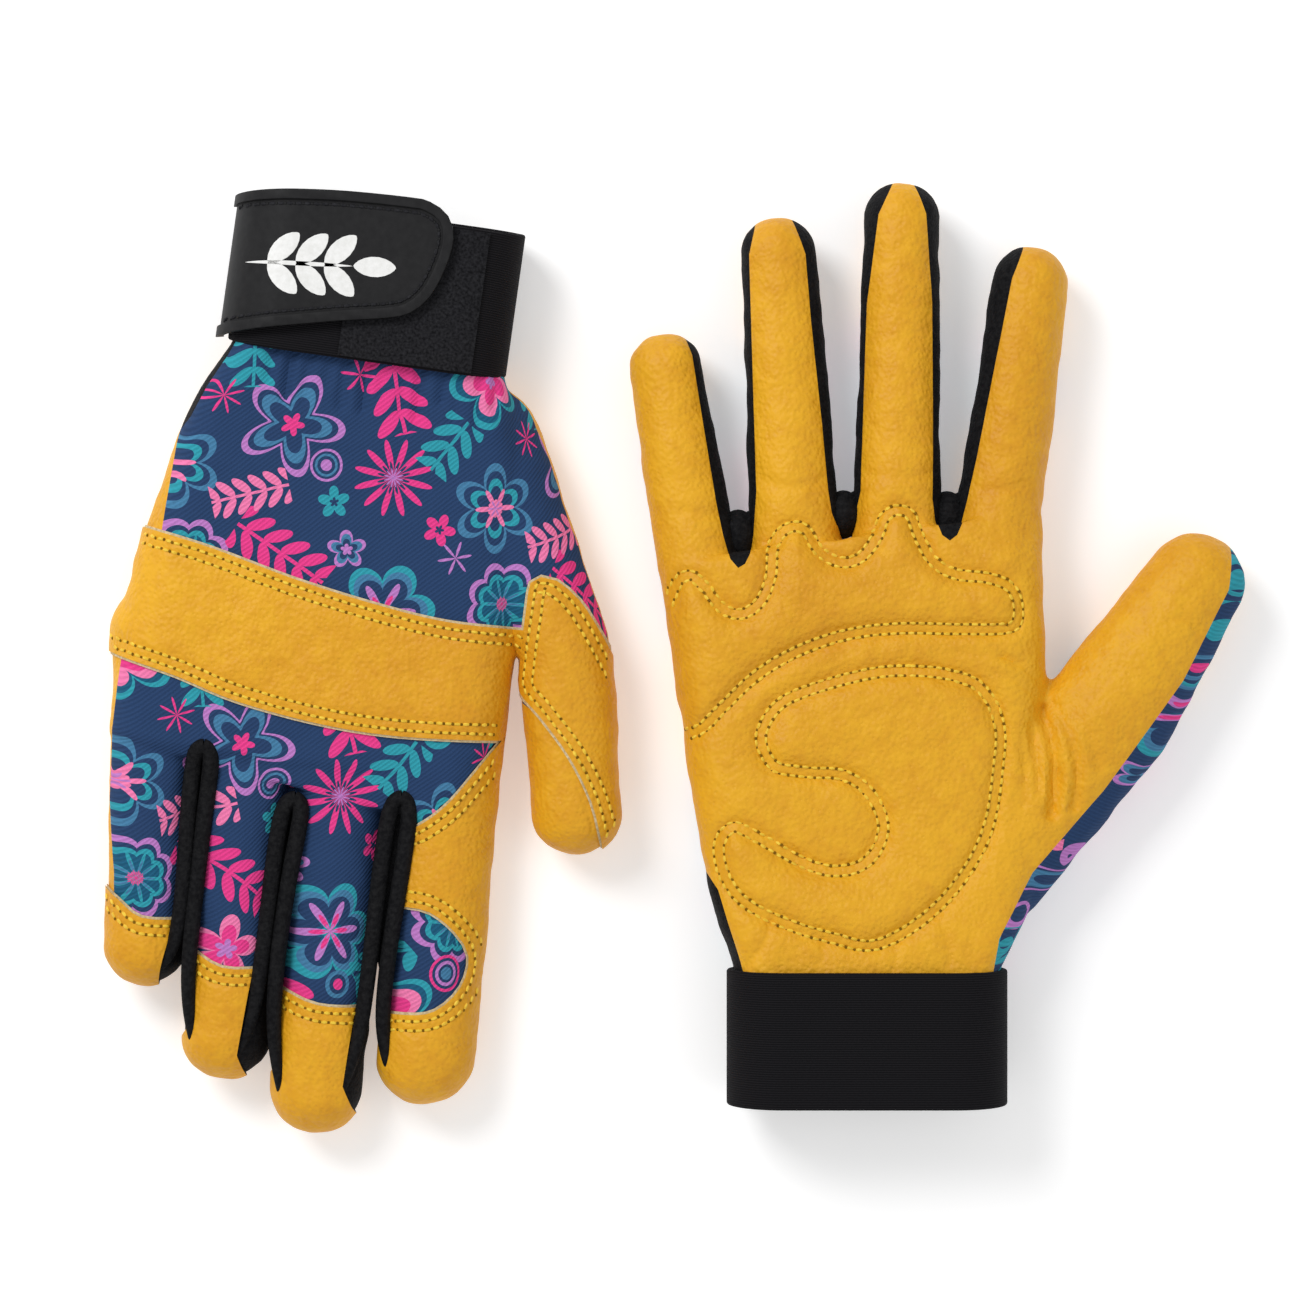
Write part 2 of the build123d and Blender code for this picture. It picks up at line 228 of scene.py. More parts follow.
def limb(start, end, wide, tall, middle):
    """A flattened bar with round ends, tapering from start to end."""
    run = Vector(end) - Vector(start)
    bpy.ops.mesh.primitive_uv_sphere_add(segments=32, ring_count=16, radius=1)
    bar = bpy.context.object
    pick(bar, lambda co: True)
    bpy.ops.transform.resize(value=(wide[0], wide[0], tall[0]), center_override=(0, 0, 0))
    finish_edit()
    pick(bar, lambda co: co.y > 0.001)
    ratio = wide[1] / wide[0]
    bpy.ops.transform.resize(value=(ratio, ratio, tall[1] / tall[0]), center_override=(0, 0, 0))
    bpy.ops.transform.translate(value=(0, run.length, 0))
    finish_edit()
    place = Matrix.Translation((*start, middle)) @ Matrix.Rotation(math.atan2(-run.x, run.y), 4, "Z")
    bar.data.transform(Matrix.Scale(MM, 4) @ place)
    return bar


def palm_slab(rings, last_ring_cut):
    """A rounded slab through the palm's rings, as (y, left, right, lowest, highest)."""
    bpy.ops.mesh.primitive_cube_add(size=2)
    slab = bpy.context.object
    first, last = rings[0], rings[-1]
    pick(slab, lambda co: True)
    bpy.ops.transform.resize(value=(45, (last[0] - first[0]) / 2, 12), center_override=(0, 0, 0))
    bpy.ops.transform.translate(value=(0, (last[0] + first[0]) / 2, 0))
    finish_edit()
    pick(slab, lambda co: False)
    scene.tool_settings.mesh_select_mode = (False, True, False)
    finish_edit()
    for edge in slab.data.edges:
        a, b = (slab.data.vertices[i].co for i in edge.vertices)
        edge.select = abs(a.y - b.y) > 1
    bpy.ops.object.mode_set(mode="EDIT")
    bpy.ops.mesh.bevel(offset=11, segments=6, affect="EDGES")
    for ring in rings[1:-1]:
        bpy.ops.mesh.select_all(action="SELECT")
        bpy.ops.mesh.bisect(plane_co=(0, ring[0], 0), plane_no=(0, 1, 0))
    finish_edit()
    for y, left, right, low, high in rings:
        pick(slab, lambda co: abs(co.y - y) < 0.01)
        bpy.ops.transform.resize(value=((right - left) / 90, 1, (high - low) / 24),
            center_override=(0, 0, 0))
        bpy.ops.transform.translate(value=((right + left) / 2, 0, (high + low) / 2))
        finish_edit()
    co = points_of(slab)
    tips = co[:, 1] > last[0] - 1
    co[tips, 1] -= last_ring_cut * np.clip(-6 - co[tips, 0], 0, None)
    move_points(slab, co * MM)
    return slab


def weld_skin(parts, name):
    """Joins closed parts into one eased skin."""
    activate(parts[0])
    for part in parts:
        part.select_set(True)
    bpy.ops.object.join()
    skin = bpy.context.object
    skin.name = name
    modify(skin, "REMESH", mode="VOXEL", voxel_size=SKIN_CELL * MM)
    modify(skin, "SMOOTH", factor=0.5, iterations=14)
    bpy.ops.object.shade_smooth()
    return skin


def finger_axis(glove, name):
    """A finger's base point and its directions along and across, as plain vectors in millimetres."""
    x, y, lean = glove["fingers"][name][:3]
    lean = math.radians(lean)
    return Vector((x, y)), Vector((-math.sin(lean), math.cos(lean))), Vector((math.cos(lean),
        math.sin(lean)))


def finger_limbs(glove):
    """The four fingers, each rooted in the palm."""
    bars = []
    for name in FINGERS:
        base, along, _ = finger_axis(glove, name)
        _, _, _, length, wide, tip = glove["fingers"][name]
        start = base - along * 26
        end = base + along * (length - tip)
        bars.append(limb(start, end, (wide, tip), glove["finger_tall"], glove["finger_middle"]))
    return bars


def make_skins(prefix):
    """The skin of the hand and fingers, and the skin that the thumb is cut from."""
    glove = GLOVES[prefix]
    stub = glove["thumb"] if prefix == "gloveB" else glove["thumb"][:1]
    hand = [palm_slab(glove["palm"], 0.3)] + finger_limbs(glove)
    hand += [limb(*part, glove["thumb_middle"]) for part in stub]
    hand_skin = weld_skin(hand, prefix + "_hand_skin")
    if prefix == "gloveB":
        return hand_skin, duplicate(hand_skin, prefix + "_thumb_skin")
    short_palm = glove["palm"][:4] + [(88, -49, 42, 0, 24)]
    thumb = [palm_slab(short_palm, 0)] + [limb(*part, glove["thumb_middle"]) for part in glove["thumb"]]
    return hand_skin, weld_skin(thumb, prefix + "_thumb_skin")


SKINS = {prefix: make_skins(prefix) for prefix in GLOVES}


# ---- Palm padding ----
# Foam pads lie behind the palm leather, held by two parallel rows of stitching round each.
# The rows pull a shallow valley into the leather, and the padding swells between them.

KNUCKLE_PAD = [
    (-51, 125), (-47.7, 131.6), (-43.7, 133.1), (-39.8, 130.1), (-35.8, 125.1), (-31.9, 123.6),
    (-27.9, 126.1),
    (-25.4, 132), (-24.9, 139), (-22.4, 143.4), (-18.4, 145.4), (-14.4, 143.9), (-11.4, 139), (-6.9, 136.5),
    (-2.5, 137.5), (1, 142), (3, 146.9), (6.9, 149.4), (11.3, 147.9), (13.8, 142), (16.8, 136.5),
    (21.8, 133.5),
    (29.8, 132.5), (35.7, 130.1), (38.2, 125.1), (37.7, 119.6), (33.8, 117.6), (22.8, 117.4), (7.9, 117.6),
    (-5, 116.1), (-16.9, 112.1), (-26.9, 106.2), (-34.9, 98.7), (-40.8, 92.9), (-46.5, 91),
]
HEEL_PAD = [
    (9.8, 109.6), (21, 108.4), (28.8, 104.8), (33.3, 96.4), (33.5, 85.9), (29.8, 66.4), (18.3, 49.6),
    (2.8, 39.8),
    (-10, 41.4), (-22.9, 45.6), (-31.9, 50.6), (-37, 57.6), (-38, 66), (-33.4, 70.9), (-25.4, 67.4),
    (-16.9, 62.6),
    (-8.9, 60.1), (-1.2, 62.1), (2.4, 69.4), (-0.8, 77.4), (-6.9, 81.4), (-14.9, 82), (-23.9, 83.8),
    (-27.9, 91.4),
    (-24.4, 99.4), (-16.9, 104.1), (-1.2, 108.6),
]
ROW_GAP = 2.5


def smooth_line(points, closed=False, step=1.2):
    """A smooth line through given points, as an array."""
    pts = [Vector(p) for p in points]
    count = len(pts)
    line = []
    for i in range(count if closed else count - 1):
        p0 = pts[i - 1] if closed or i else pts[0]
        p1, p2 = pts[i], pts[(i + 1) % count]
        p3 = pts[(i + 2) % count] if closed or i + 2 < count else pts[-1]
        pieces = max(1, round((p2 - p1).length / step))
        for k in range(pieces):
            t = k / pieces
            line.append(0.5 * (2 * p1 + (p2 - p0) * t + (2 * p0 - 5 * p1 + 4 * p2 - p3) * t**2
                               + (3 * p1 - p0 - 3 * p2 + p3) * t**3))
    if not closed:
        line.append(pts[-1])
    return np.array([tuple(p) for p in line])


def beside(line, distance, closed=False):
    """The same line moved to its left by distance."""
    ahead = np.roll(line, -1, 0) if closed else np.vstack([line[1:], 2 * line[-1] - line[-2]])
    behind = np.roll(line, 1, 0) if closed else np.vstack([2 * line[0] - line[1], line[:-1]])
    run = ahead - behind
    run /= np.linalg.norm(run, axis=1)[:, None]
    return line + distance * np.column_stack([-run[:, 1], run[:, 0]])


def distance_to(line, xy, closed=False):
    """Each point's distance to a line, in millimetres."""
    ends = np.vstack([line, line[:1]]) if closed else line
    nearest = np.full(len(xy), 1e9)
    for a, b in zip(ends[:-1], ends[1:]):
        run = b - a
        t = np.clip(((xy - a) @ run) / (run @ run), 0, 1)
        nearest = np.minimum(nearest, np.linalg.norm(xy - a - t[:, None] * run, axis=1))
    return nearest


def inside(line, xy):
    """Which points lie within a closed line."""
    odd = np.zeros(len(xy), bool)
    for (x0, y0), (x1, y1) in zip(line, np.roll(line, -1, 0)):
        if y0 != y1:
            crosses = ((y0 > xy[:, 1]) != (y1 > xy[:, 1])) & (xy[:,
                0] < (x1 - x0) * (xy[:, 1] - y0) / (y1 - y0) + x0)
            odd ^= crosses
    return odd


def facing(skin, side):
    """How far each vertex faces the palm (side 1) or the back (side -1), from 0 to 1."""
    normals = np.empty(len(skin.data.vertices) * 3)
    skin.data.vertex_normals.foreach_get("vector", normals)
    return np.clip(normals.reshape(-1, 3)[:, 2] * side * 1.4, 0, 1)


def press(skin, line, depth, width, side, closed=False, swell=0.0):
    """Presses a valley along a line into one side of a skin, and swells what lies inside a closed line."""
    co = points_of(skin)
    xy = co[:, :2] / MM
    low, high = line.min(0) - 8, line.max(0) + 8
    near = np.all((xy > low) & (xy < high), axis=1)
    gap = distance_to(line, xy[near], closed)
    move = -depth * np.exp(-((gap / width) ** 2))
    if swell:
        move += swell * inside(line, xy[near]) * (1 - np.exp(-gap / 5))
    co[near, 2] += side * move * facing(skin, side)[near] * MM
    move_points(skin, co)


for hand, _ in SKINS.values():
    for pad, closed in ((KNUCKLE_PAD, False), (HEEL_PAD, True)):
        outline = smooth_line(pad, closed)
        press(hand, beside(outline, -ROW_GAP / 2, closed), 1.2, 2.9, 1, closed)
        for inset in (0, ROW_GAP):
            press(hand, beside(outline, -inset, closed), 0.5, 0.8, 1, closed)
        press(hand, outline, 0, 1, 1, True, swell=1.7)

# ---- Creases ----
# Leather gathers where the thumb folds towards the palm, and the fabric puckers where it meets the cuff.
# A slow unevenness over the whole skin keeps the panels from looking moulded.

# Each fold: its line on the palm, its depth and its width
FOLDS = [
    ([(43.5, 99), (45.5, 91), (46.5, 82), (45.5, 73)], 2.4, 1.7),
    ([(46.5, 100), (50, 92), (51.8, 84), (51, 75)], 1.6, 1.5),
    ([(40.5, 95), (41.8, 87), (42, 78)], 1.0, 1.2),
    ([(49.5, 100), (54.5, 92), (57.5, 84)], 0.8, 1.3),
    ([(37.5, 92), (38.6, 84), (38.4, 75)], 0.5, 1.0),
    ([(33, 112), (39, 108.5), (44.5, 103)], 0.8, 1.2),
    ([(31, 108), (38, 105), (44, 100)], 0.5, 1.0),
    ([(22, 113), (30, 112), (38, 110.5)], 0.4, 1.0),
    ([(-30, 36), (-26, 41), (-24, 47)], 0.6, 1.1),
    ([(-12, 36), (-11, 42)], 0.5, 1.0),
    ([(6, 35), (7, 41)], 0.5, 1.0),
    ([(20, 36), (19, 44), (16, 49)], 0.6, 1.1),
    ([(82, 118), (79, 121), (75, 121)], 0.6, 1.0),
    ([(-46, 148), (-38, 147), (-33, 149)], 0.6, 1.3),
    ([(22, 156), (30, 153), (38, 154)], 0.6, 1.4),
    ([(-2, 158), (8, 156), (16, 158)], 0.5, 1.4),
    ([(-27, 156), (-18, 154), (-8, 157)], 0.5, 1.4),
]
hand_b = SKINS["gloveB"][0]
for points, depth, width in FOLDS:
    press(hand_b, smooth_line(points), depth, width, 1)


def puckers(skin, first_x, last_x):
    """Short gathers that run up from the cuff on the back of a glove."""
    x = first_x
    k = 0
    while x < last_x:
        reach = 8 + 6 * math.sin(k * 2.1) ** 2
        slant = 0.12 * (x / 40)
        line = smooth_line([(x, 30), (x + slant * reach, 34 + reach)])
        press(skin, line, 1.0 + 0.45 * math.sin(k * 1.7), 1.4, -1)
        x += 4.6 + 1.1 * math.sin(k * 3.3)
        k += 1


puckers(SKINS["gloveA"][0], -22, 38)
puckers(hand_b, -22, 38)

uneven = bpy.data.textures.new("uneven", "CLOUDS")
uneven.noise_scale = 0.022
wrinkle = bpy.data.textures.new("wrinkle", "CLOUDS")
wrinkle.noise_scale = 0.0055
wrinkle.noise_depth = 3
for pair in SKINS.values():
    for skin in pair:
        modify(skin, "DISPLACE", texture=uneven, texture_coords="LOCAL", strength=1.8 * MM, mid_level=0.5)
        modify(skin, "DISPLACE", texture=wrinkle, texture_coords="LOCAL", strength=0.38 * MM, mid_level=0.5)


def rest_flat(skin, lowest, highest):
    """Flattens a skin where the glove lies on the floor."""
    co = points_of(skin)
    co[:, 2] = np.clip(co[:, 2], lowest * MM, highest * MM)
    move_points(skin, co)


# The floor meets the back of one glove and the palm of the other, and leaves their other sides free
FLOOR_LIMITS = {"gloveB": (-0.1, 60), "gloveA": (-60, 23.8)}
for prefix, limits in FLOOR_LIMITS.items():
    for skin in SKINS[prefix]:
        rest_flat(skin, *limits)

# ---- Seam lines ----
# Where the panels meet on the hand, in the glove's own frame: the black strips between the fingers,
# the leather sewn over the back, and the fabric that runs out along the edge of the thumb.

BORDERS = {
    "gloveB": [
        [(-31, 137.3), (-33, 160), (-38, 200), (-38, 245)],
        [(-5.3, 145.2), (-5.3, 165), (-6.5, 200), (-6.5, 245)],
        [(20.1, 144), (23, 165), (26, 200), (26, 245)],
    ],
    "gloveA": [
        [(-28.4, 136), (-26.7, 161), (-26, 176), (-25, 190), (-30, 203), (-30, 245)],
        [(-4, 144.5), (-3.9, 158), (-4.4, 171), (-3.9, 184), (-1, 208), (-6, 226), (-6, 245)],
        [(21.3, 142.5), (21.9, 167), (22.3, 192), (24.5, 212), (27, 222), (27, 245)],
    ],
}
OUTER_ENDS = {
    "gloveB": ([(-64, 131.5), (-52.7, 133.4)], [(46, 140.2), (60, 139), (60, 245)]),
    "gloveA": ([(-64, 137), (-51, 136.1)], [(48.3, 139.9), (51.5, 146), (60, 160), (60, 245)]),
}
THUMB_END = {
    "gloveB": [(46.4, 107.8), (95, 73.7), (130, 100), (115, 165), (66, 165), (52, 125)],
    "gloveA": [
        (47.5, 98), (70, 93.9), (100, 90), (100, 160), (62, 155), (56, 144), (51.5, 137.5), (48.5, 132),
        (47.2, 123),
        (47.3, 110),
    ],
}
GAPS = {
    "gloveB": [
        [(-32.3, 133.8), (-30.6, 134.8), (-29.3, 137.4), (-28.3, 142), (-27.6, 153), (-28.6, 185),
            (-29.4, 212),
         (-27.5, 221), (-34, 226), (-40, 198), (-46, 193.5), (-43.6, 187), (-40.9, 170), (-37.6, 150),
         (-35.9, 142), (-34.2, 136)],
        [(-5.7, 143.6), (-4.1, 144.7), (-2.7, 147.6), (-1.6, 153), (-1, 170), (0, 200), (2.8, 222),
            (7, 231),
         (-4, 236), (-12, 226), (-19, 222), (-15.4, 212), (-14, 195), (-11.3, 170), (-9.7, 153),
         (-8.8, 147.6),
         (-7.5, 144.7)],
        [(20.2, 140.6), (22.0, 142), (23.6, 145.6), (25, 151), (27.4, 162), (32.4, 188), (36, 206),
            (40, 216),
         (32, 220), (24, 232), (11.5, 231), (14.6, 222), (16.2, 200), (16.4, 170), (16.2, 151),
         (16.9, 145.6),
         (18.3, 142)],
    ],
    "gloveA": [
        [(-26.4, 133), (-23, 138), (-24, 161), (-23.6, 184), (-21, 205), (-25, 212), (-31, 203),
            (-28.5, 184),
         (-28.6, 161), (-29.6, 141)],
        [(-2.4, 143.4), (0.6, 150), (-1.2, 171), (-1.4, 190), (1.6, 212), (-3, 220), (-7.5, 210),
            (-6.4, 186),
         (-6.4, 160), (-6, 149)],
        [(23.6, 139.6), (26.6, 147), (26.6, 171), (26, 195), (27, 212), (24, 222), (19.6, 214), (20, 192),
         (19.8, 167), (20, 147)],
    ],
}
FABRIC_EDGE = {
    "gloveB": [(-38, 24), (-40, 62), (-44, 98), (-49, 125), (-50.5, 137), (-54, 160), (-57, 178),
        (-58, 245)],
    "gloveA": [
        (-41, 24), (-42.0, 40.1), (-43.8, 60.5), (-43.9, 83), (-49.9, 115.6), (-49.8, 137), (-48.4, 151.9),
        (-44.6, 169.1), (-40, 200), (-40, 245),
    ],
}
THUMB_FABRIC = {
    "gloveB": [
        (91.3, 141.2), (89.6, 128.4), (78.3, 105.9), (58.3, 78.4), (40.8, 58.4), (32.1, 42.1),
        (30.8, 33.9), (30.8, 20),
        (120, 20), (120, 150), (92, 150),
    ],
    "gloveA": [(90, 150), (75.5, 146), (71, 135), (64, 124.7), (55.2, 115.8), (40, 108), (40, 20),
        (120, 20), (120, 150)],
}
VENT = {
    "gloveB": [(-52, 20), (-30.2, 20), (-30.8, 33), (-32.2, 38), (-34.8, 46), (-37.2, 54), (-42, 61)],
    "gloveA": [(-52, 20), (-30.8, 20), (-31.6, 33), (-33.6, 38), (-37.8, 46), (-41, 54), (-46, 61)],
}
SEAM_HEIGHT = {"gloveB": 8, "gloveA": 10}
OVERLAY_HEIGHT = {"gloveB": 6, "gloveA": 12}
BAND = (
    [(-62, 81), (-47.9, 83.1), (-31.1, 85.8), (-8.9, 90.7), (11.8, 94.1), (29.7, 95.9), (48.6, 95.3)],
    [(-64, 113), (-50.4, 115.5), (-35.3, 118.4), (-19.6, 122.5), (1, 125.2), (21.2, 125.6), (48.6, 123.2)],
)
# A fingertip cap's edge, in the finger's own frame: across, and back from the tip
CAP_EDGES = {
    "pinky": [(-14, -26), (-7, -21.5), (-0.5, -17.2), (9.2, -17), (14, -18)],
    "ring": [(-14, -34), (-9.1, -31.6), (-1.3, -28.1), (8, -28.4), (14, -29)],
    "middle": [(-14, -36), (-10, -35), (-0.9, -32.2), (10.4, -32.2), (14, -33)],
}
# The leather that wraps the back of the index finger, and the window of fabric left in it
INDEX_CURVE = [(30, -40), (13.1, -16.8), (8.5, -10.2), (1.8, -0.9), (-4.1, 4.6), (-8.9, 7), (-20, 9)]
INDEX_WINDOW = [(-18, 26.5), (-7.4, 26.1), (-1, 26.9), (5.5, 31.4), (9.2, 37.3), (7.9, 45), (2.1, 51.2),
    (-5.3, 52.8), (-18, 53)]
THUMB_PATCH = {
    "gloveB": ([(50, 118), (60, 114), (70, 107), (79, 97), (88, 86)], [(120, 90), (110, 160), (60, 160)]),
    "gloveA": (
        [(74.8, 144.5), (71, 135), (64, 124.7), (55.2, 115.8), (49.2, 110.6), (48.4, 104), (48.4, 92),
            (48.6, 83.4),
         (51, 81.6), (55, 82.0), (61.1, 85.9), (67.1, 92.7), (74, 102)],
        [(95, 105), (95, 150), (76, 150)],
    ),
}


def on_finger(prefix, name, points, from_tip=False):
    """Points given across and along a finger, in the glove's frame."""
    glove = GLOVES[prefix]
    base, along, across = finger_axis(glove, name)
    start = glove["fingers"][name][3] if from_tip else 0
    return [tuple(base + across * u + along * (v + start)) for u, v in points]


def finger_plots(prefix):
    """The outline that each finger is cut out by, from its knuckle line to past its tip."""
    first, last = OUTER_ENDS[prefix]
    one, two, three = BORDERS[prefix]
    return {
        "pinky": first + one + [(-90, 245)],
        "ring": [(one[0][0] + 1.2, one[0][1] + 6.5)] + two + one[::-1],
        "middle": two[:1] + three + two[:0:-1],
        "index": three[:1] + last + three[:0:-1],
        "thumb": THUMB_END[prefix],
    }


PLOTS = {prefix: finger_plots(prefix) for prefix in GLOVES}

# ---- Seam valleys ----
# Every row of stitching draws the panels down a little, and the strips between the fingers lie in a hollow.


def rows_of(prefix):
    """Each stitched edge on the back of a glove: a name, its line, and the side on which its rows lie."""
    top, foot = (smooth_line(edge) for edge in BAND)
    rows = [("hand", top, 1), ("hand", foot, -1)]
    for name, edge in CAP_EDGES.items():
        rows.append((name, smooth_line(on_finger(prefix, name, edge, True)), 1))
    rows.append(("index", smooth_line(on_finger(prefix, "index", INDEX_CURVE)), -1))
    rows.append(("index", smooth_line(on_finger(prefix, "index", INDEX_WINDOW)), -1))
    rows.append(("thumb", smooth_line(THUMB_PATCH[prefix][0]), 1))
    return rows


ROW_INSETS = (1.6, 3.9)
for prefix, (hand, thumb) in SKINS.items():
    for place, line, sign in rows_of(prefix):
        skin = thumb if place == "thumb" else hand
        for inset in ROW_INSETS:
            press(skin, beside(line, sign * inset), 0.35, 0.8, -1)
        press(skin, beside(line, -sign * 1.2), 0.3, 1.4, -1)

# ---- Leather and lining ----
# Golden goatskin with a fine pebbled grain, and pale raw suede at its cut edges.


def new_finish(name, roughness):
    """A material, its node tree and its shader."""
    finish = bpy.data.materials.new(name)
    finish.use_nodes = True
    shader = finish.node_tree.nodes["Principled BSDF"]
    shader.inputs["Roughness"].default_value = roughness
    return finish, finish.node_tree, shader


def node(tree, kind, sockets=None, **settings):
    """Adds a shader node with its sockets set or linked."""
    new = tree.nodes.new("ShaderNode" + kind)
    for key, value in settings.items():
        setattr(new, key, value)
    for key, value in (sockets or {}).items():
        if isinstance(value, bpy.types.NodeSocket):
            tree.links.new(value, new.inputs[key])
        else:
            new.inputs[key].default_value = value
    return new


def ramp(tree, factor, stops, interpolation="LINEAR"):
    """A colour ramp with the given (position, colour) stops."""
    new = node(tree, "ValToRGB", {"Fac": factor})
    new.color_ramp.interpolation = interpolation
    elements = new.color_ramp.elements
    elements.remove(elements[1])
    for i, (position, colour) in enumerate(stops):
        element = elements[0] if i == 0 else elements.new(position)
        element.position = position
        element.color = colour
    return new


def leather_finish(name, light, dark):
    """Goatskin: mottled colour, pebbled grain and soft creases."""
    finish, tree, shader = new_finish(name, 0.5)
    spot = node(tree, "TexCoord").outputs["Object"]
    broad = node(tree, "TexNoise", {"Vector": spot, "Scale": 18.0, "Detail": 3.0, "Roughness": 0.5})
    mottle = node(tree, "TexNoise", {"Vector": spot, "Scale": 260.0, "Detail": 5.0, "Roughness": 0.65})
    blend = node(tree, "MixRGB", {"Fac": 0.45, "Color1": broad.outputs["Fac"],
        "Color2": mottle.outputs["Fac"]})
    colour = ramp(tree, blend.outputs["Color"], [(0.30, (*dark, 1)), (0.62, (*light, 1))])
    tree.links.new(colour.outputs["Color"], shader.inputs["Base Color"])
    shine = node(tree, "MapRange", {"Value": mottle.outputs["Fac"], "To Min": 0.42, "To Max": 0.66})
    tree.links.new(shine.outputs["Result"], shader.inputs["Roughness"])
    grain = node(tree, "TexVoronoi", {"Vector": spot, "Scale": 900.0}, feature="SMOOTH_F1")
    soft = node(tree, "TexNoise", {"Vector": spot, "Scale": 120.0, "Detail": 6.0, "Roughness": 0.6})
    height = node(tree, "Math", {0: grain.outputs["Distance"], 1: 0.6}, operation="MULTIPLY")
    both = node(tree, "Math", {0: height.outputs[0], 1: soft.outputs["Fac"]}, operation="ADD")
    bump = node(tree, "Bump", {"Height": both.outputs[0], "Strength": 0.5, "Distance": 0.0012})
    tree.links.new(bump.outputs["Normal"], shader.inputs["Normal"])
    shader.inputs["Specular IOR Level"].default_value = 0.35
    return finish


def nap_finish(name, colour, shade):
    """A raw, fibrous surface."""
    finish, tree, shader = new_finish(name, 0.95)
    spot = node(tree, "TexCoord").outputs["Object"]
    fibres = node(tree, "TexNoise", {"Vector": spot, "Scale": 1400.0, "Detail": 3.0})
    mix = ramp(tree, fibres.outputs["Fac"], [(0.3, (*shade, 1)), (0.7, (*colour, 1))])
    tree.links.new(mix.outputs["Color"], shader.inputs["Base Color"])
    bump = node(tree, "Bump", {"Height": fibres.outputs["Fac"], "Strength": 0.5, "Distance": 0.0004})
    tree.links.new(bump.outputs["Normal"], shader.inputs["Normal"])
    shader.inputs["Specular IOR Level"].default_value = 0.15
    return finish


LEATHER = leather_finish("golden leather", (0.83, 0.42, 0.010), (0.66, 0.27, 0.005))
RAW_EDGE = nap_finish("raw suede edge", (0.74, 0.62, 0.40), (0.50, 0.36, 0.18))
LINING = nap_finish("lining", (0.62, 0.58, 0.50), (0.45, 0.41, 0.34))

# ---- Black stretch knit ----
# Fine black knit let in between the fingers and at the wrist.

BLACK_KNIT, knit_tree, knit_shader = new_finish("black knit", 0.78)
knit_spot = node(knit_tree, "TexCoord").outputs["Object"]
knit_noise = node(knit_tree, "TexNoise", {"Vector": knit_spot, "Scale": 900.0, "Detail": 2.0})
knit_colour = ramp(knit_tree, knit_noise.outputs["Fac"], [(0.35, (0.002, 0.002, 0.003, 1)),
    (0.7, (0.010, 0.010, 0.011, 1))])
knit_tree.links.new(knit_colour.outputs["Color"], knit_shader.inputs["Base Color"])
knit_loops = node(knit_tree, "TexVoronoi", {"Vector": knit_spot, "Scale": 1500.0})
knit_bump = node(knit_tree, "Bump", {"Height": knit_loops.outputs["Distance"], "Strength": 0.4,
    "Distance": 0.0004})
knit_tree.links.new(knit_bump.outputs["Normal"], knit_shader.inputs["Normal"])
knit_shader.inputs["Specular IOR Level"].default_value = 0.15

# ---- Printed twill ----
# Stretch cotton twill, navy, printed with a scatter of simple flowers, sprigs, stars and rings.
# The print is made from shapes in the cloth's own two directions and repeats every 80 mm.

NAVY = (0.021, 0.052, 0.135)
PINK = (0.80, 0.05, 0.26)
ROSE = (0.86, 0.20, 0.42)
LILAC = (0.50, 0.20, 0.55)
TEAL = (0.030, 0.32, 0.40)
SKY = (0.06, 0.20, 0.36)
DEEP = (0.012, 0.10, 0.19)


def motif_group(name, build):
    """A node group that measures how far a point of the cloth lies out from a motif: below 1 is inside."""
    group = bpy.data.node_groups.new(name, "ShaderNodeTree")
    for label, kind in (("Cloth", "Vector"), ("Centre", "Vector"), ("Turn", "Float"), ("Size", "Float"),
                        ("Count", "Float"), ("Waist", "Float"), ("Point", "Float")):
        group.interface.new_socket(label, in_out="INPUT", socket_type="NodeSocket" + kind)
    group.interface.new_socket("Reach", in_out="OUTPUT", socket_type="NodeSocketFloat")
    given = group.nodes.new("NodeGroupInput").outputs
    away = node(group, "VectorMath", {0: given["Cloth"], 1: given["Centre"]}, operation="SUBTRACT")
    near = node(group, "VectorMath", {0: away.outputs[0], 1: (0.5, 0.5, 0.5), 2: (-0.5, -0.5, -0.5)},
        operation="WRAP")
    turned = node(group, "VectorRotate", {"Vector": near.outputs[0], "Angle": given["Turn"]},
        rotation_type="Z_AXIS")
    reach = build(group, given, turned.outputs[0])
    end = group.nodes.new("NodeGroupOutput")
    group.links.new(reach, end.inputs["Reach"])
    return group


def math_in(group, operation, *values):
    """One sum in a node group."""
    return node(group, "Math", dict(enumerate(values)), operation=operation).outputs[0]


def petals(group, given, spot):
    """Petals round a centre: Count of them, cut in to Waist between them, and as sharp as Point."""
    xyz = node(group, "SeparateXYZ", {0: spot}).outputs
    angle = math_in(group, "ARCTAN2", xyz["Y"], xyz["X"])
    wave = math_in(group, "COSINE", math_in(group, "MULTIPLY",
        math_in(group, "MULTIPLY", angle, given["Count"]), 0.5))
    lobe = math_in(group, "POWER", math_in(group, "ABSOLUTE", wave), given["Point"])
    share = math_in(group, "SUBTRACT", 1.0, given["Waist"])
    edge = math_in(group, "ADD", given["Waist"], math_in(group, "MULTIPLY", share, lobe))
    length = node(group, "VectorMath", {0: spot}, operation="LENGTH").outputs["Value"]
    return math_in(group, "DIVIDE", length, math_in(group, "MULTIPLY", edge, given["Size"]))


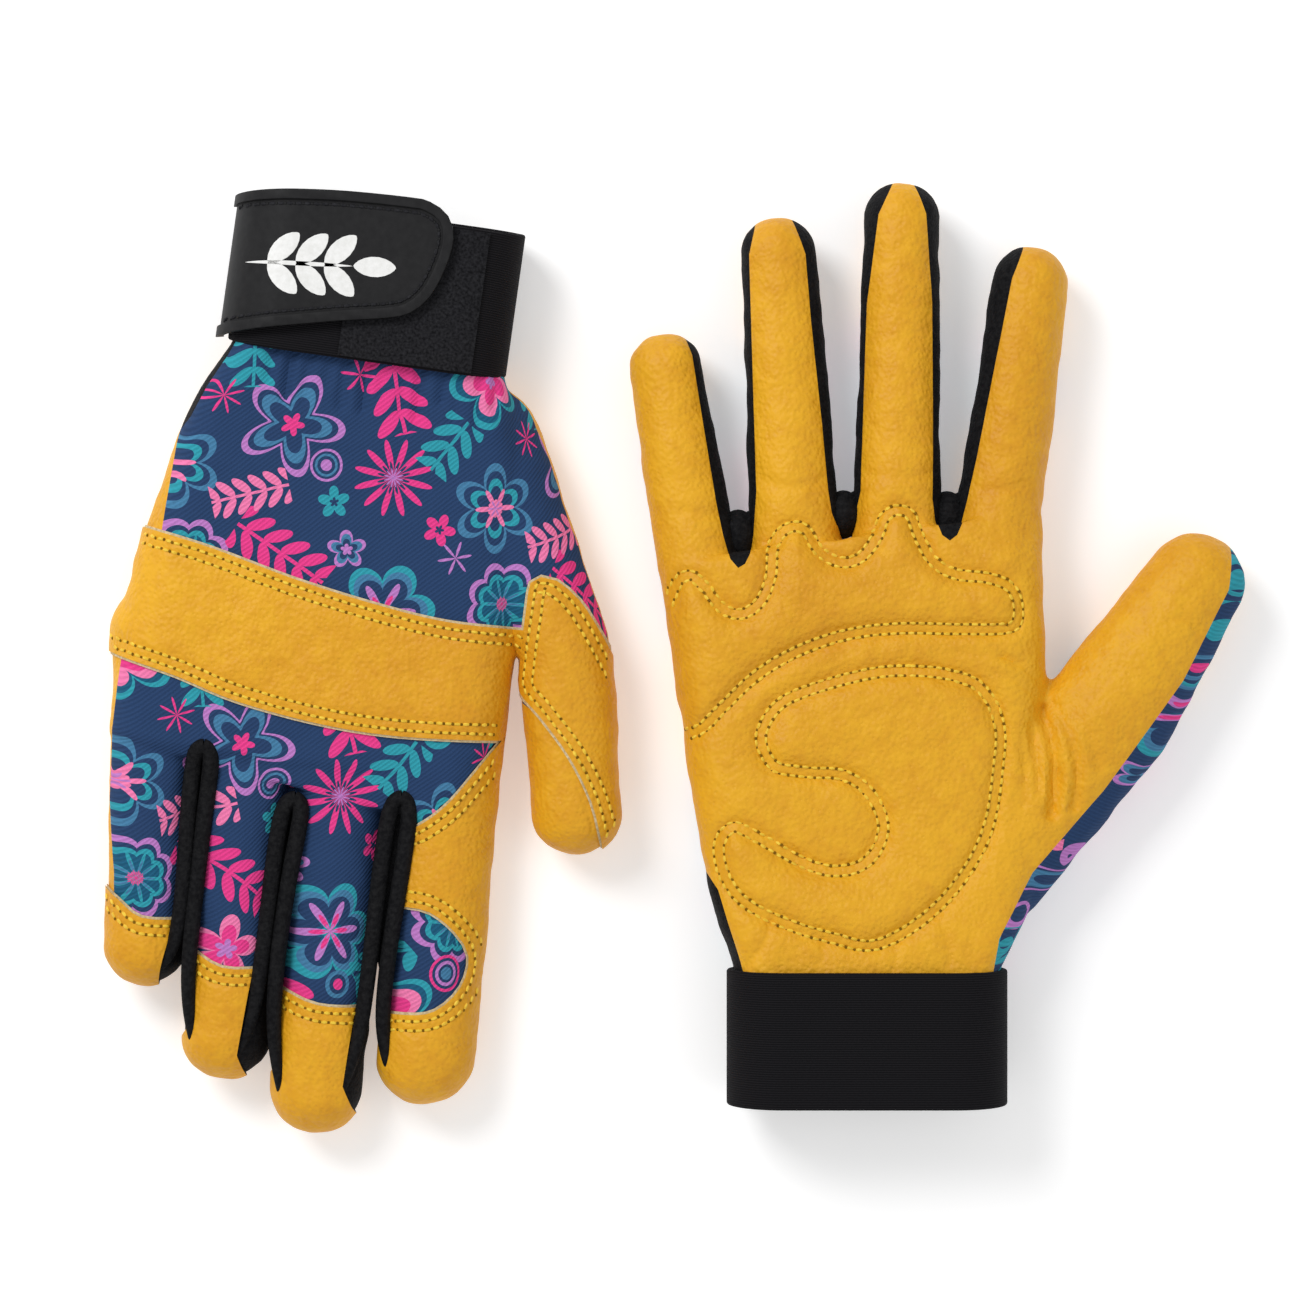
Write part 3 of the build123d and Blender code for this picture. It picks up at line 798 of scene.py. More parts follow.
def leaves(group, given, spot):
    """Pairs of leaves up a stem: Count pairs, Size from the middle to the end."""
    xyz = node(group, "SeparateXYZ", {0: spot}).outputs
    pitch = math_in(group, "DIVIDE", math_in(group, "MULTIPLY", given["Size"], 2.0), given["Count"])
    x = math_in(group, "ABSOLUTE", xyz["X"])
    slid = math_in(group, "SUBTRACT", xyz["Y"], math_in(group, "MULTIPLY", x, 0.7))
    up = math_in(group, "WRAP", slid, math_in(group, "MULTIPLY", pitch, 0.5),
        math_in(group, "MULTIPLY", pitch, -0.5))
    out = math_in(group, "SUBTRACT", x, math_in(group, "MULTIPLY", pitch, 0.62))
    a = math_in(group, "POWER", math_in(group, "DIVIDE", out, math_in(group, "MULTIPLY", pitch, 0.56)), 2.0)
    b = math_in(group, "POWER", math_in(group, "DIVIDE", up, math_in(group, "MULTIPLY", pitch, 0.36)), 2.0)
    leaf = math_in(group, "SQRT", math_in(group, "ADD", a, b))
    stem = math_in(group, "DIVIDE", x, math_in(group, "MULTIPLY", pitch, 0.09))
    plant = math_in(group, "MINIMUM", leaf, stem)
    ends = math_in(group, "DIVIDE", math_in(group, "ABSOLUTE", xyz["Y"]), given["Size"])
    return math_in(group, "ADD", plant, math_in(group, "MULTIPLY",
        math_in(group, "GREATER_THAN", ends, 1.0), 10.0))


PETALS = motif_group("petals", petals)
LEAVES = motif_group("leaves", leaves)


def band_of(colour, start):
    """A ramp stop: this colour from here outwards, or bare cloth for None."""
    return (start / 1.6, (*colour, 1) if colour else (0, 0, 0, 0))


# shape, centre, turn, size, petals, waist, point, colours from the middle out
SCATTER = [
    (PETALS, (0.17, 0.20), 0.2, 0.160, 6, 0.62, 0.7, [(TEAL, 0), (DEEP, 0.2), (NAVY, 0.3), (SKY, 0.72),
        (TEAL, 0.86), (None, 1)]),
    (PETALS, (0.17, 0.20), 0.2, 0.102, 6, 0.05, 3, [(LILAC, 0), (PINK, 0.25), (LILAC, 0.6), (None, 1)]),
    (PETALS, (0.55, 0.12), 0.5, 0.134, 8, 0.80, 0.8, [(PINK, 0), (DEEP, 0.16), (TEAL, 0.6), (NAVY, 0.72),
        (LILAC, 0.84), (None, 1)]),
    (PETALS, (0.55, 0.12), 0.1, 0.084, 10, 0.12, 4, [(PINK, 0), (SKY, 0.3), (TEAL, 0.7), (None, 1)]),
    (PETALS, (0.86, 0.30), 0.3, 0.110, 5, 0.35, 0.9, [(LILAC, 0), (PINK, 0.3), (ROSE, 0.7), (None, 1)]),
    (PETALS, (0.40, 0.44), 0.9, 0.154, 5, 0.50, 0.8, [(LILAC, 0), (PINK, 0.18), (ROSE, 0.5), (DEEP, 0.72),
        (TEAL, 0.86), (None, 1)]),
    (PETALS, (0.80, 0.66), 0.0, 0.166, 5, 0.45, 1.5, [(PINK, 0), (NAVY, 0.22), (SKY, 0.55), (NAVY, 0.74),
        (LILAC, 0.86), (None, 1)]),
    (PETALS, (0.14, 0.78), 0.4, 0.122, 12, 0.10, 1.6, [(LILAC, 0), (NAVY, 0.25), (PINK, 0.42), (None, 1)]),
    (PETALS, (0.47, 0.83), 0.7, 0.141, 6, 0.55, 0.9, [(ROSE, 0), (NAVY, 0.2), (TEAL, 0.5), (NAVY, 0.66),
        (SKY, 0.82), (None, 1)]),
    (PETALS, (0.47, 0.83), 0.2, 0.067, 6, 0.08, 3, [(LILAC, 0), (ROSE, 0.4), (None, 1)]),
    (LEAVES, (0.83, 0.06), 1.1, 0.160, 5, 0, 0, [(PINK, 0), (None, 1)]),
    (LEAVES, (0.36, 0.28), -0.9, 0.096, 4, 0, 0, [(TEAL, 0), (None, 1)]),
    (LEAVES, (0.10, 0.51), 0.35, 0.141, 4, 0, 0, [(PINK, 0), (None, 1)]),
    (LEAVES, (0.64, 0.45), 0.15, 0.115, 4, 0, 0, [(TEAL, 0), (None, 1)]),
    (LEAVES, (0.71, 0.89), -1.2, 0.122, 5, 0, 0, [(ROSE, 0), (None, 1)]),
    (LEAVES, (0.29, 0.66), -0.5, 0.092, 3, 0, 0, [(TEAL, 0), (None, 1)]),
    (PETALS, (0.70, 0.27), 0.1, 0.051, 6, 0.02, 6, [(TEAL, 0), (None, 1)]),
    (PETALS, (0.58, 0.60), 0.4, 0.058, 8, 0.02, 6, [(PINK, 0), (None, 1)]),
    (PETALS, (0.98, 0.48), 0.0, 0.058, 6, 0.02, 6, [(PINK, 0), (None, 1)]),
    (PETALS, (0.36, 0.00), 0.3, 0.054, 6, 0.02, 6, [(LILAC, 0), (None, 1)]),
    (PETALS, (0.30, 0.92), 0.0, 0.051, 5, 0.40, 1, [(NAVY, 0), (PINK, 0.3), (None, 1)]),
    (PETALS, (0.03, 0.02), 0.5, 0.061, 5, 0.50, 1, [(LILAC, 0), (NAVY, 0.3), (SKY, 0.55), (LILAC, 0.8),
        (None, 1)]),
    (PETALS, (0.97, 0.88), 0.5, 0.051, 5, 0.45, 1, [(NAVY, 0), (TEAL, 0.3), (None, 1)]),
    (PETALS, (0.55, 0.28), 0.0, 0.058, 4, 1.0, 1, [(SKY, 0), (NAVY, 0.35), (LILAC, 0.5), (NAVY, 0.68),
        (PINK, 0.84), (None, 1)]),
    (PETALS, (0.93, 0.77), 0.0, 0.051, 4, 1.0, 1, [(LILAC, 0), (NAVY, 0.35), (SKY, 0.55), (NAVY, 0.7),
        (LILAC, 0.84), (None, 1)]),
    (PETALS, (0.22, 0.36), 0.0, 0.044, 4, 1.0, 1, [(PINK, 0), (NAVY, 0.4), (SKY, 0.7), (None, 1)]),
]
PRINT, print_tree, print_shader = new_finish("printed twill", 0.82)
cloth_map = node(print_tree, "UVMap", uv_map="cloth").outputs["UV"]
repeat = node(print_tree, "VectorMath", {0: cloth_map, 1: (1.25, 1.25, 1.25)},
    operation="MULTIPLY").outputs[0]
ink = node(print_tree, "RGB").outputs[0]
ink.default_value = (*NAVY, 1)
for shape, centre, turn, size, count, waist, point, colours in SCATTER:
    motif = node(print_tree, "Group", node_tree=shape)
    settings = {"Centre": (*centre, 0), "Turn": turn, "Size": size, "Count": count, "Waist": waist,
        "Point": point}
    for key, value in settings.items():
        motif.inputs[key].default_value = value
    print_tree.links.new(repeat, motif.inputs["Cloth"])
    scaled = math_in(print_tree, "DIVIDE", motif.outputs[0], 1.6)
    bands = ramp(print_tree, scaled, [band_of(*stop) for stop in colours], "CONSTANT")
    ink = node(print_tree, "MixRGB", {"Fac": bands.outputs["Alpha"], "Color1": ink,
        "Color2": bands.outputs["Color"]}).outputs[0]
twill = node(print_tree, "TexWave", {"Vector": cloth_map, "Scale": 46.0, "Distortion": 0.4, "Detail": 1.0},
             bands_direction="DIAGONAL")
threads = node(print_tree, "TexNoise", {"Vector": cloth_map, "Scale": 260.0, "Detail": 3.0})
worn = node(print_tree, "MapRange", {"Value": twill.outputs["Fac"], "To Min": 0.88, "To Max": 1.10})
fade = node(print_tree, "MapRange", {"Value": threads.outputs["Fac"], "To Min": 0.78, "To Max": 1.25})
weave = math_in(print_tree, "MULTIPLY", worn.outputs[0], fade.outputs[0])
dyed = node(print_tree, "VectorMath", {0: ink, "Scale": weave}, operation="SCALE")
print_tree.links.new(dyed.outputs[0], print_shader.inputs["Base Color"])
ridge = math_in(print_tree, "ADD", twill.outputs["Fac"], threads.outputs["Fac"])
print_bump = node(print_tree, "Bump", {"Height": ridge, "Strength": 0.35, "Distance": 0.0005})
print_tree.links.new(print_bump.outputs["Normal"], print_shader.inputs["Normal"])
print_shader.inputs["Specular IOR Level"].default_value = 0.15

# ---- Cut panels ----
# The skin becomes a shell as thick as the leather, and is cut apart at the seams: leather on the palm,
# printed twill on the back, and black knit between the fingers.

SHELL = 1.3


def cutter(outline, low=-40, high=60, finish=None):
    """A solid block with this outline, seen from above."""
    bpy.ops.mesh.primitive_circle_add(vertices=len(outline), fill_type="NGON")
    block = bpy.context.object
    co = np.column_stack([np.array(outline, float)[:, :2], np.full(len(outline), float(low))])
    move_points(block, co * MM)
    pick(block, lambda co: True)
    bpy.ops.mesh.extrude_region_move(TRANSFORM_OT_translate={"value": (0, 0, (high - low) * MM)})
    bpy.ops.mesh.select_all(action="SELECT")
    bpy.ops.mesh.normals_make_consistent(inside=False)
    finish_edit()
    block.data.materials.append(finish or LINING)
    return block


def join(objects):
    """Joins objects into the first."""
    activate(objects[0])
    for obj in objects:
        obj.select_set(True)
    bpy.ops.object.join()
    return objects[0]


def carve(cloth, block, operation):
    """Cuts cloth by a block in place. Cut faces take the block's material."""
    modify(cloth, "BOOLEAN", object=block, operation=operation, solver="MANIFOLD", material_mode="TRANSFER")
    return cloth


def split(cloth, block, name):
    """Cuts a named piece out of cloth, and leaves the rest."""
    piece = duplicate(cloth, name)
    carve(piece, block, "INTERSECT")
    carve(cloth, block, "DIFFERENCE")
    return piece


def grown(skin, distance, name):
    """A copy of a skin moved outwards, or inwards for a distance below zero."""
    twin = duplicate(skin, name)
    modify(twin, "DISPLACE", strength=distance * MM, mid_level=0)
    return twin


def shell_of(skin, name):
    """A shell as thick as the leather."""
    shell = duplicate(skin, name)
    shell.data.materials.clear()
    shell.data.materials.append(LEATHER)
    core = grown(skin, -SHELL, "core")
    core.data.materials.clear()
    core.data.materials.append(LINING)
    carve(shell, core, "DIFFERENCE")
    discard(core)
    return shell


def dye(piece, finish):
    """Gives a panel's outside its finish."""
    piece.data.materials[0] = finish
    return piece


def laid(prefix):
    """Where a glove lies: its own frame carried into the model's."""
    glove = GLOVES[prefix]
    hinge = JOINTS[prefix + "_strap_hinge"]
    y, z = Vector(hinge["axis"]), Vector((0, 0, glove["up"]))
    turn = Matrix((y.cross(z), y, z)).transposed()
    origin = Vector(hinge["pos_m"]) - turn @ (Vector((-38.15, 17, glove["cuff_middle"])) * MM)
    return Matrix.Translation(origin) @ turn.to_4x4()


LAID = {prefix: laid(prefix) for prefix in GLOVES}


def settle(piece, prefix, part, limb_name):
    """Lays a finished piece where its glove lies, and hands a piece of the hand or strap to that body; other
    pieces keep their place in the model's frame.
    """
    co = points_of(piece) / MM
    corners = np.empty(len(piece.data.loops), int)
    piece.data.loops.foreach_get("vertex_index", corners)
    while piece.data.uv_layers:
        piece.data.uv_layers.remove(piece.data.uv_layers[0])
    cloth = piece.data.uv_layers.new(name="cloth")
    flat = np.column_stack([co[:, 0] + 0.8 * co[:, 2], co[:, 1]]) / 100
    cloth.data.foreach_set("uv", flat[corners].ravel())
    piece.data.transform(LAID[prefix])
    activate(piece)
    bpy.ops.object.shade_smooth_by_angle(angle=math.radians(38))
    piece.name = f"{prefix}_{part}_piece"
    if limb_name in ("hand", "strap"):
        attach(piece, f"{prefix}_{limb_name}")
    else:
        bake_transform(piece)
    if f"{prefix}_{part}" in frame["nodes"]:
        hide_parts(f"{prefix}_{part}")
    return piece


OPENING = [(-120, 30.5), (120, 30.5), (120, 250), (-120, 250)]
CHUNKS = {}
for prefix, (hand_skin, thumb_skin) in SKINS.items():
    hand = shell_of(hand_skin, prefix + "_hand")
    mouth = cutter(OPENING)
    carve(hand, mouth, "INTERSECT")
    parts = {}
    for name, plot in PLOTS[prefix].items():
        block = cutter(plot)
        source = hand
        if name == "thumb" and prefix == "gloveA":
            source = shell_of(thumb_skin, "thumb")
            carve(hand, block, "DIFFERENCE")
        parts[name] = split(source, block, f"{prefix}_{name}")
        if source is not hand:
            discard(source)
        discard(block)
    discard(mouth)
    parts["hand"] = hand
    CHUNKS[prefix] = parts

# The middle of the black web at each fork, and its reach across and along
FORKS = {
    "gloveB": [(-32.0, 142.0, 5.4, 8.0), (-5.6, 148.0, 5.0, 6.6), (20.4, 146.6, 5.6, 8.0)],
    "gloveA": [(-27.2, 146, 3.4, 9.0), (-3.4, 150, 3.4, 7.5), (22.0, 148, 3.4, 8.0)],
}
WEB_HEIGHT = 5.6
WEB_DROP = 0.6


def web(prefix, x, y, across, along):
    """The saddle of knit that joins two fingers at their fork, pinched in at the middle."""
    middle = GLOVES[prefix]["finger_middle"]
    bpy.ops.mesh.primitive_uv_sphere_add(segments=32, ring_count=20)
    saddle = bpy.context.object
    pick(saddle, lambda co: True)
    bpy.ops.transform.resize(value=(across, along, WEB_HEIGHT), center_override=(0, 0, 0))
    finish_edit()
    pick(saddle, lambda co: co.y > along * 0.5 and abs(co.x) < across * 0.5)
    bpy.ops.transform.translate(value=(0, -along * 0.15, 0))
    finish_edit()
    saddle.data.transform(Matrix.Scale(MM, 4) @ Matrix.Translation((x, y, middle - WEB_DROP)))
    saddle.data.materials.append(BLACK_KNIT)
    return saddle


for prefix, parts in CHUNKS.items():
    gaps = join([cutter(gap, finish=BLACK_KNIT) for gap in GAPS[prefix]])
    vent_block = cutter(VENT[prefix], finish=BLACK_KNIT)
    back = cutter(FABRIC_EDGE[prefix] + [(120, 245), (120, 20)], high=SEAM_HEIGHT[prefix])
    thumb_back = cutter(THUMB_FABRIC[prefix], high=60 if prefix == "gloveB" else SEAM_HEIGHT[prefix])
    if prefix == "gloveB":
        carve(thumb_back, back, "UNION")
    for name, leather in parts.items():
        if name == "hand":
            webs = [web(prefix, *fork) for fork in FORKS[prefix]]
        if name != "thumb":
            knit = dye(split(leather, gaps, "knit"), BLACK_KNIT)
            part = "fork_gussets" if name == "hand" else name + "_side_gussets"
            parts[name] = (leather, knit)
        if name == "hand":
            settle(join([knit] + webs), prefix, "fork_gussets", "hand")
            vent = dye(split(leather, vent_block, "vent"), BLACK_KNIT)
            settle(vent, prefix, "wrist_vent", "hand")
        use_thumb = name == "thumb" or (name == "hand" and prefix == "gloveB")
        fabric = dye(split(leather, thumb_back if use_thumb else back, "fabric"), PRINT)
        part = "back_fabric" if name == "hand" else name + "_back_fabric"
        settle(fabric, prefix, part, name)
    for name, kept in parts.items():
        if name in FINGERS:
            settle(kept[0], prefix, name + "_front_leather", name)
        elif name == "thumb":
            settle(kept, prefix, "thumb_leather", "thumb")
    discard(vent_block, back, thumb_back, gaps)

# ---- Finger gusset rolls ----
# On the glove with its back up the fingers lie close, and the knit between them bulges in two soft rolls
# that meet in an arch at each fork.

ROLLS = {
    "pinky": [
        (-25.9, 134.6), (-27.7, 134.9), (-28.4, 138), (-28.0, 150), (-26.9, 165), (-26.2, 178),
        (-26.9, 186.5),
        (-29.6, 191),
    ],
    "ring left": [
        (-26.1, 134.6), (-24.3, 134.9), (-23.6, 138), (-23.8, 150), (-23.4, 165), (-23.0, 184),
        (-21.8, 201),
        (-17.6, 212),
    ],
    "ring right": [
        (-1.9, 144.6), (-4.0, 145.0), (-5.0, 149), (-5.2, 160), (-4.8, 175), (-4.6, 190), (-5.2, 203),
        (-8, 211),
    ],
    "middle left": [
        (-2.1, 144.6), (-0.3, 145.0), (0.2, 149), (-0.6, 160), (-1.0, 175), (-0.8, 190), (0.8, 208),
        (6, 222),
    ],
    "middle right": [
        (24.4, 140.4), (22.4, 140.8), (21.4, 145), (21.4, 160), (21.8, 175), (22.2, 190), (22.0, 207),
        (17, 222),
    ],
    "index": [
        (24.2, 140.4), (26.2, 140.8), (27.0, 145), (26.8, 160), (26.4, 175), (26.4, 190), (27.6, 202),
        (31, 210),
    ],
    "index under": [
        (24.2, 144), (24.2, 149), (24.1, 155), (24.1, 162), (24.1, 168), (24.2, 174), (24.4, 180),
        (25.6, 186),
    ],
}
ROLL_RADIUS = (1.9, 2.0, 2.1, 2.1, 2.0, 2.0, 1.8, 0.9)
ROLL_DEPTH = (3.0, 3.0, 3.0, 3.2, 3.4, 3.6, 5.0, 8.5)
# How much deeper a roll lies that backs the gap between two others
UNDER = 3.2


def surface_tree(skin):
    """A skin's surface for finding heights on it."""
    return BVHTree.FromObject(skin, bpy.context.evaluated_depsgraph_get())


def drop(tree, x, y, side):
    """The point and normal where a line straight down meets the palm (side 1) or the back (side -1)."""
    place, normal, _, _ = tree.ray_cast(Vector((x, y, side * 80)) * MM, Vector((0, 0, -side)))
    return place, normal


def roll(points, tree, name):
    """A soft roll of knit along the back of a finger."""
    bpy.ops.curve.primitive_nurbs_path_add()
    tube = bpy.context.object
    tube.name = name
    path = tube.data
    path.splines.clear()
    spline = path.splines.new("NURBS")
    spline.points.add(len(points) - 1)
    for i, (x, y) in enumerate(points):
        place, _ = drop(tree, x, y, -1)
        height = min(place.z / MM, ROLL_DEPTH[i]) if place else ROLL_DEPTH[i]
        if name.endswith("under"):
            height += UNDER
        spline.points[i].co = (x * MM, y * MM, (height + 0.5) * MM, 1)
        spline.points[i].radius = ROLL_RADIUS[i]
    spline.order_u = 4
    spline.use_endpoint_u = True
    path.resolution_u = 10
    path.bevel_depth = MM
    path.bevel_resolution = 7
    path.use_fill_caps = True
    activate(tube)
    bpy.ops.object.convert(target="MESH")
    tube = bpy.context.object
    tube.data.materials.append(BLACK_KNIT)
    return tube


back_tree = surface_tree(SKINS["gloveA"][0])
for prefix, parts in CHUNKS.items():
    for name in FINGERS:
        knit = parts[name][1]
        if prefix == "gloveA":
            rolls = [roll(line, back_tree, label) for label,
                line in ROLLS.items() if label.split()[0] == name]
            knit = join([knit] + rolls)
        settle(knit, prefix, name + "_side_gussets", name)

# ---- Leather overlays ----
# The knuckle band, fingertip caps, index wrap and thumb patch are leather sewn on top of the back fabric.
# Each has a thin pale rim of raw suede where it was cut.

OVERLAY = 0.9
RIM = 0.6


def overlay(skin, outline, height, holes=()):
    """Leather over a skin inside an outline, given as a function of how far it is let out."""
    layers = []
    for thickness, let_out, finish in ((OVERLAY, 0, LEATHER), (OVERLAY * 0.55, RIM, RAW_EDGE)):
        layer = grown(skin, thickness, "layer")
        layer.data.materials.clear()
        layer.data.materials.append(finish)
        blocks = [(cutter(outline(let_out), high=height, finish=RAW_EDGE), "INTERSECT")]
        blocks += [(cutter(hole(let_out), finish=RAW_EDGE), "DIFFERENCE") for hole in holes]
        for block, operation in blocks:
            carve(layer, block, operation)
            discard(block)
        carve(layer, skin, "DIFFERENCE")
        layers.append(layer)
    return join(layers)


def as_points(line):
    """A line as a list of points."""
    return [tuple(point) for point in line]


for prefix, (hand_skin, thumb_skin) in SKINS.items():
    top, foot = (smooth_line(edge, step=3) for edge in BAND)
    height = OVERLAY_HEIGHT[prefix]
    band = overlay(hand_skin, lambda out: as_points(beside(top, -out)) + as_points(beside(foot,
        out))[::-1], height)
    settle(band, prefix, "knuckle_band", "hand")
    gaps = join([cutter(gap, finish=BLACK_KNIT) for gap in GAPS[prefix]])
    for name, edge in CAP_EDGES.items():
        line = smooth_line(on_finger(prefix, name, edge, True), step=3)
        far = on_finger(prefix, name, [(18, 30), (-18, 30)], True)
        cap = overlay(hand_skin, lambda out: as_points(beside(line, -out)) + far, height)
        block = cutter(PLOTS[prefix][name])
        carve(cap, block, "INTERSECT")
        carve(cap, gaps, "DIFFERENCE")
        discard(block)
        settle(cap, prefix, name + "_tip_cap", name)
    curve = smooth_line(on_finger(prefix, "index", INDEX_CURVE), step=3)
    window = smooth_line(on_finger(prefix, "index", INDEX_WINDOW), step=3)
    far = on_finger(prefix, "index", [(-20, 110), (40, 110), (40, -40)])
    wrap = overlay(hand_skin, lambda out: as_points(beside(curve, out)) + far, height,
                   holes=[lambda out: as_points(beside(window, out))])
    carve(wrap, gaps, "DIFFERENCE")
    blocks = {name: cutter(PLOTS[prefix][name]) for name in ("index", "middle", "thumb")}
    index_part = split(wrap, blocks["index"], "index wrap")
    carve(wrap, blocks["middle"], "DIFFERENCE")
    if prefix == "gloveB":
        carve(wrap, blocks["thumb"], "DIFFERENCE")
    settle(index_part, prefix, "index_tip_cap", "index")
    palm = join([CHUNKS[prefix]["hand"][0], wrap])
    settle(palm, prefix, "palm_leather", "hand")
    patch_line, patch_far = THUMB_PATCH[prefix]
    patch_edge = smooth_line(patch_line, step=3)
    patch = overlay(thumb_skin, lambda out: as_points(beside(patch_edge, -out)) + patch_far, height)
    settle(patch, prefix, "thumb_patch", "thumb")
    discard(gaps, *blocks.values())

# ---- Stitching ----
# Thick golden thread, about twelve stitches to the inch, in two rows along every sewn edge.
# One stitch is a small pill with a small dark blob after it, painted shade in its needle hole; the rows are
# copies of it laid on the leather.

PITCH = 2.2
THREAD, thread_tree, thread_shader = new_finish("golden thread", 0.6)
thread_spot = node(thread_tree, "TexCoord").outputs["Object"]
thread_noise = node(thread_tree, "TexNoise", {"Vector": thread_spot, "Scale": 700.0})
thread_colour = ramp(thread_tree, thread_noise.outputs["Fac"],
    [(0.3, (0.78, 0.48, 0.02, 1)), (0.7, (0.95, 0.66, 0.05, 1))])
thread_tree.links.new(thread_colour.outputs["Color"], thread_shader.inputs["Base Color"])
thread_twist = node(thread_tree, "TexWave", {"Vector": thread_spot, "Scale": 500.0},
    bands_direction="DIAGONAL")
thread_bump = node(thread_tree, "Bump", {"Height": thread_twist.outputs["Fac"], "Strength": 0.4,
    "Distance": 0.0002})
thread_tree.links.new(thread_bump.outputs["Normal"], thread_shader.inputs["Normal"])

bpy.ops.mesh.primitive_uv_sphere_add(segments=6, ring_count=4)
pill = bpy.context.object
pick(pill, lambda co: True)
bpy.ops.transform.rotate(value=math.pi / 2, orient_axis="Y", center_override=(0, 0, 0))
bpy.ops.transform.resize(value=(0.88, 0.48, 0.40), center_override=(0, 0, 0))
finish_edit()
# A small dark blob half a pitch on from the pill: painted shade where the thread dives into its needle hole
hole = duplicate(pill, "needle hole painted shade")
pick(hole, lambda co: True)
bpy.ops.transform.resize(value=(0.44, 0.90, 0.55), center_override=(0, 0, 0))
bpy.ops.transform.translate(value=(PITCH / 2, 0, 0))
finish_edit()
PILL_FACES = [tuple(face.vertices) for face in pill.data.polygons]
PILL_POINTS = np.vstack([points_of(pill), points_of(hole)])
PILL_FACES += [tuple(i + len(pill.data.vertices) for i in face) for face in PILL_FACES]
discard(pill, hole)
# Dark brown finish for that blob: painted shade in the needle hole, not a colour of the leather
NEEDLE_HOLE_SHADE = nap_finish("needle hole painted shade", (0.26, 0.14, 0.008), (0.15, 0.07, 0.004))


def plot_at(prefix, x, y):
    """Which finger's or thumb's plot a point is in, or the hand."""
    for name, plot in PLOTS[prefix].items():
        if inside(np.array(plot, float), np.array([(x, y)]))[0]:
            return name
    return "hand"


def lay_row(found, prefix, line, tree, side, allowed, closed=False):
    """Adds a row of stitches along a line to those found so far, by the limb that they lie on."""
    ends = np.vstack([line, line[:1]]) if closed else line
    lengths = np.concatenate([[0], np.cumsum(np.linalg.norm(np.diff(ends, axis=0), axis=1))])
    gaps = [np.array(gap, float) for gap in GAPS[prefix]]
    for distance in np.arange(PITCH / 2, lengths[-1], PITCH):
        x, y = (np.interp(distance, lengths, ends[:, i]) for i in (0, 1))
        ahead = [np.interp(distance + 0.5, lengths, ends[:, i]) - (x, y)[i] for i in (0, 1)]
        limb_name = plot_at(prefix, x, y)
        spot = np.array([(x, y)])
        if limb_name not in allowed or any(inside(gap, spot)[0] for gap in gaps):
            continue
        place, normal = drop(tree, x, y, side)
        if place is None or normal.z * side < 0.35 or not any(ahead):
            continue
        if side < 0 and place.z / MM > OVERLAY_HEIGHT[prefix] - 0.8:
            continue
        along = Vector((*ahead, 0))
        along = (along - normal * along.dot(normal)).normalized()
        turn = np.array(Matrix((along, normal.cross(along), normal)).transposed())
        stitch = PILL_POINTS @ turn.T + np.array(place + normal * 0.00005) / MM
        found.setdefault("thumb" if allowed == THUMB_ONLY else limb_name, []).append(stitch)


def sewn_rows(stitches, thread, hole):
    """All the stitches on one limb as one object."""
    count = len(PILL_POINTS)
    faces = [tuple(i + k * count for i in face) for k in range(len(stitches)) for face in PILL_FACES]
    mesh = bpy.data.meshes.new("stitches")
    mesh.from_pydata(np.vstack(stitches) * MM, [], faces)
    rows = bpy.data.objects.new("stitches", mesh)
    scene.collection.objects.link(rows)
    mesh.materials.append(thread)
    # The second finish goes on the blob after each stitch: painted shade at the needle hole, or plain rubber
    # on the strap tab
    mesh.materials.append(hole)
    half = len(PILL_FACES) // 2
    mesh.polygons.foreach_set("material_index", ([0] * half + [1] * half) * len(stitches))
    return rows


THUMB_ONLY = ("thumb", "hand")
ANYWHERE = ("hand", "thumb", *FINGERS)
for prefix, (hand_skin, thumb_skin) in SKINS.items():
    found = {}
    palm_tree = surface_tree(hand_skin)
    for pad, closed in ((KNUCKLE_PAD, False), (HEEL_PAD, True)):
        outline = smooth_line(pad, closed)
        for inset in (0, ROW_GAP):
            lay_row(found, prefix, beside(outline, -inset, closed), palm_tree, 1, ANYWHERE, closed)
    raised_hand = grown(hand_skin, OVERLAY, "raised")
    raised_thumb = grown(thumb_skin, OVERLAY, "raised")
    trees = {"hand": surface_tree(raised_hand), "thumb": surface_tree(raised_thumb)}
    allowed = {"hand": ("hand",), "index": ("hand", "index"), "thumb": THUMB_ONLY}
    for place, line, sign in rows_of(prefix):
        tree = trees["thumb" if place == "thumb" else "hand"]
        for inset in ROW_INSETS:
            lay_row(found, prefix, beside(line, sign * inset), tree, -1, allowed.get(place, (place,)))
    discard(raised_hand, raised_thumb)
    for limb_name, stitches in found.items():
        settle(sewn_rows(stitches, THREAD, NEEDLE_HOLE_SHADE), prefix, limb_name + "_stitching", limb_name)

# ---- Palm pads ----
# Two pieces of foam a few millimetres thick, sewn in behind the palm leather.

FOAM = nap_finish("foam", (0.55, 0.53, 0.48), (0.40, 0.38, 0.34))
for prefix, (hand_skin, _) in SKINS.items():
    pads = []
    for outline in (KNUCKLE_PAD, HEEL_PAD):
        shape = smooth_line(outline, True, step=3)
        if outline is KNUCKLE_PAD:
            shape = shape[(shape[:, 0] > -44)]
        pad = grown(hand_skin, -(SHELL + 0.2), "pad")
        pad.data.materials.clear()
        pad.data.materials.append(FOAM)
        under = grown(hand_skin, -(SHELL + 3), "under")
        block = cutter(as_points(beside(shape, -4, True)), low=14)
        carve(pad, block, "INTERSECT")
        carve(pad, under, "DIFFERENCE")
        discard(under, block)
        pads.append(pad)
    pads = settle(join(pads), prefix, "palm_pads", "hand")

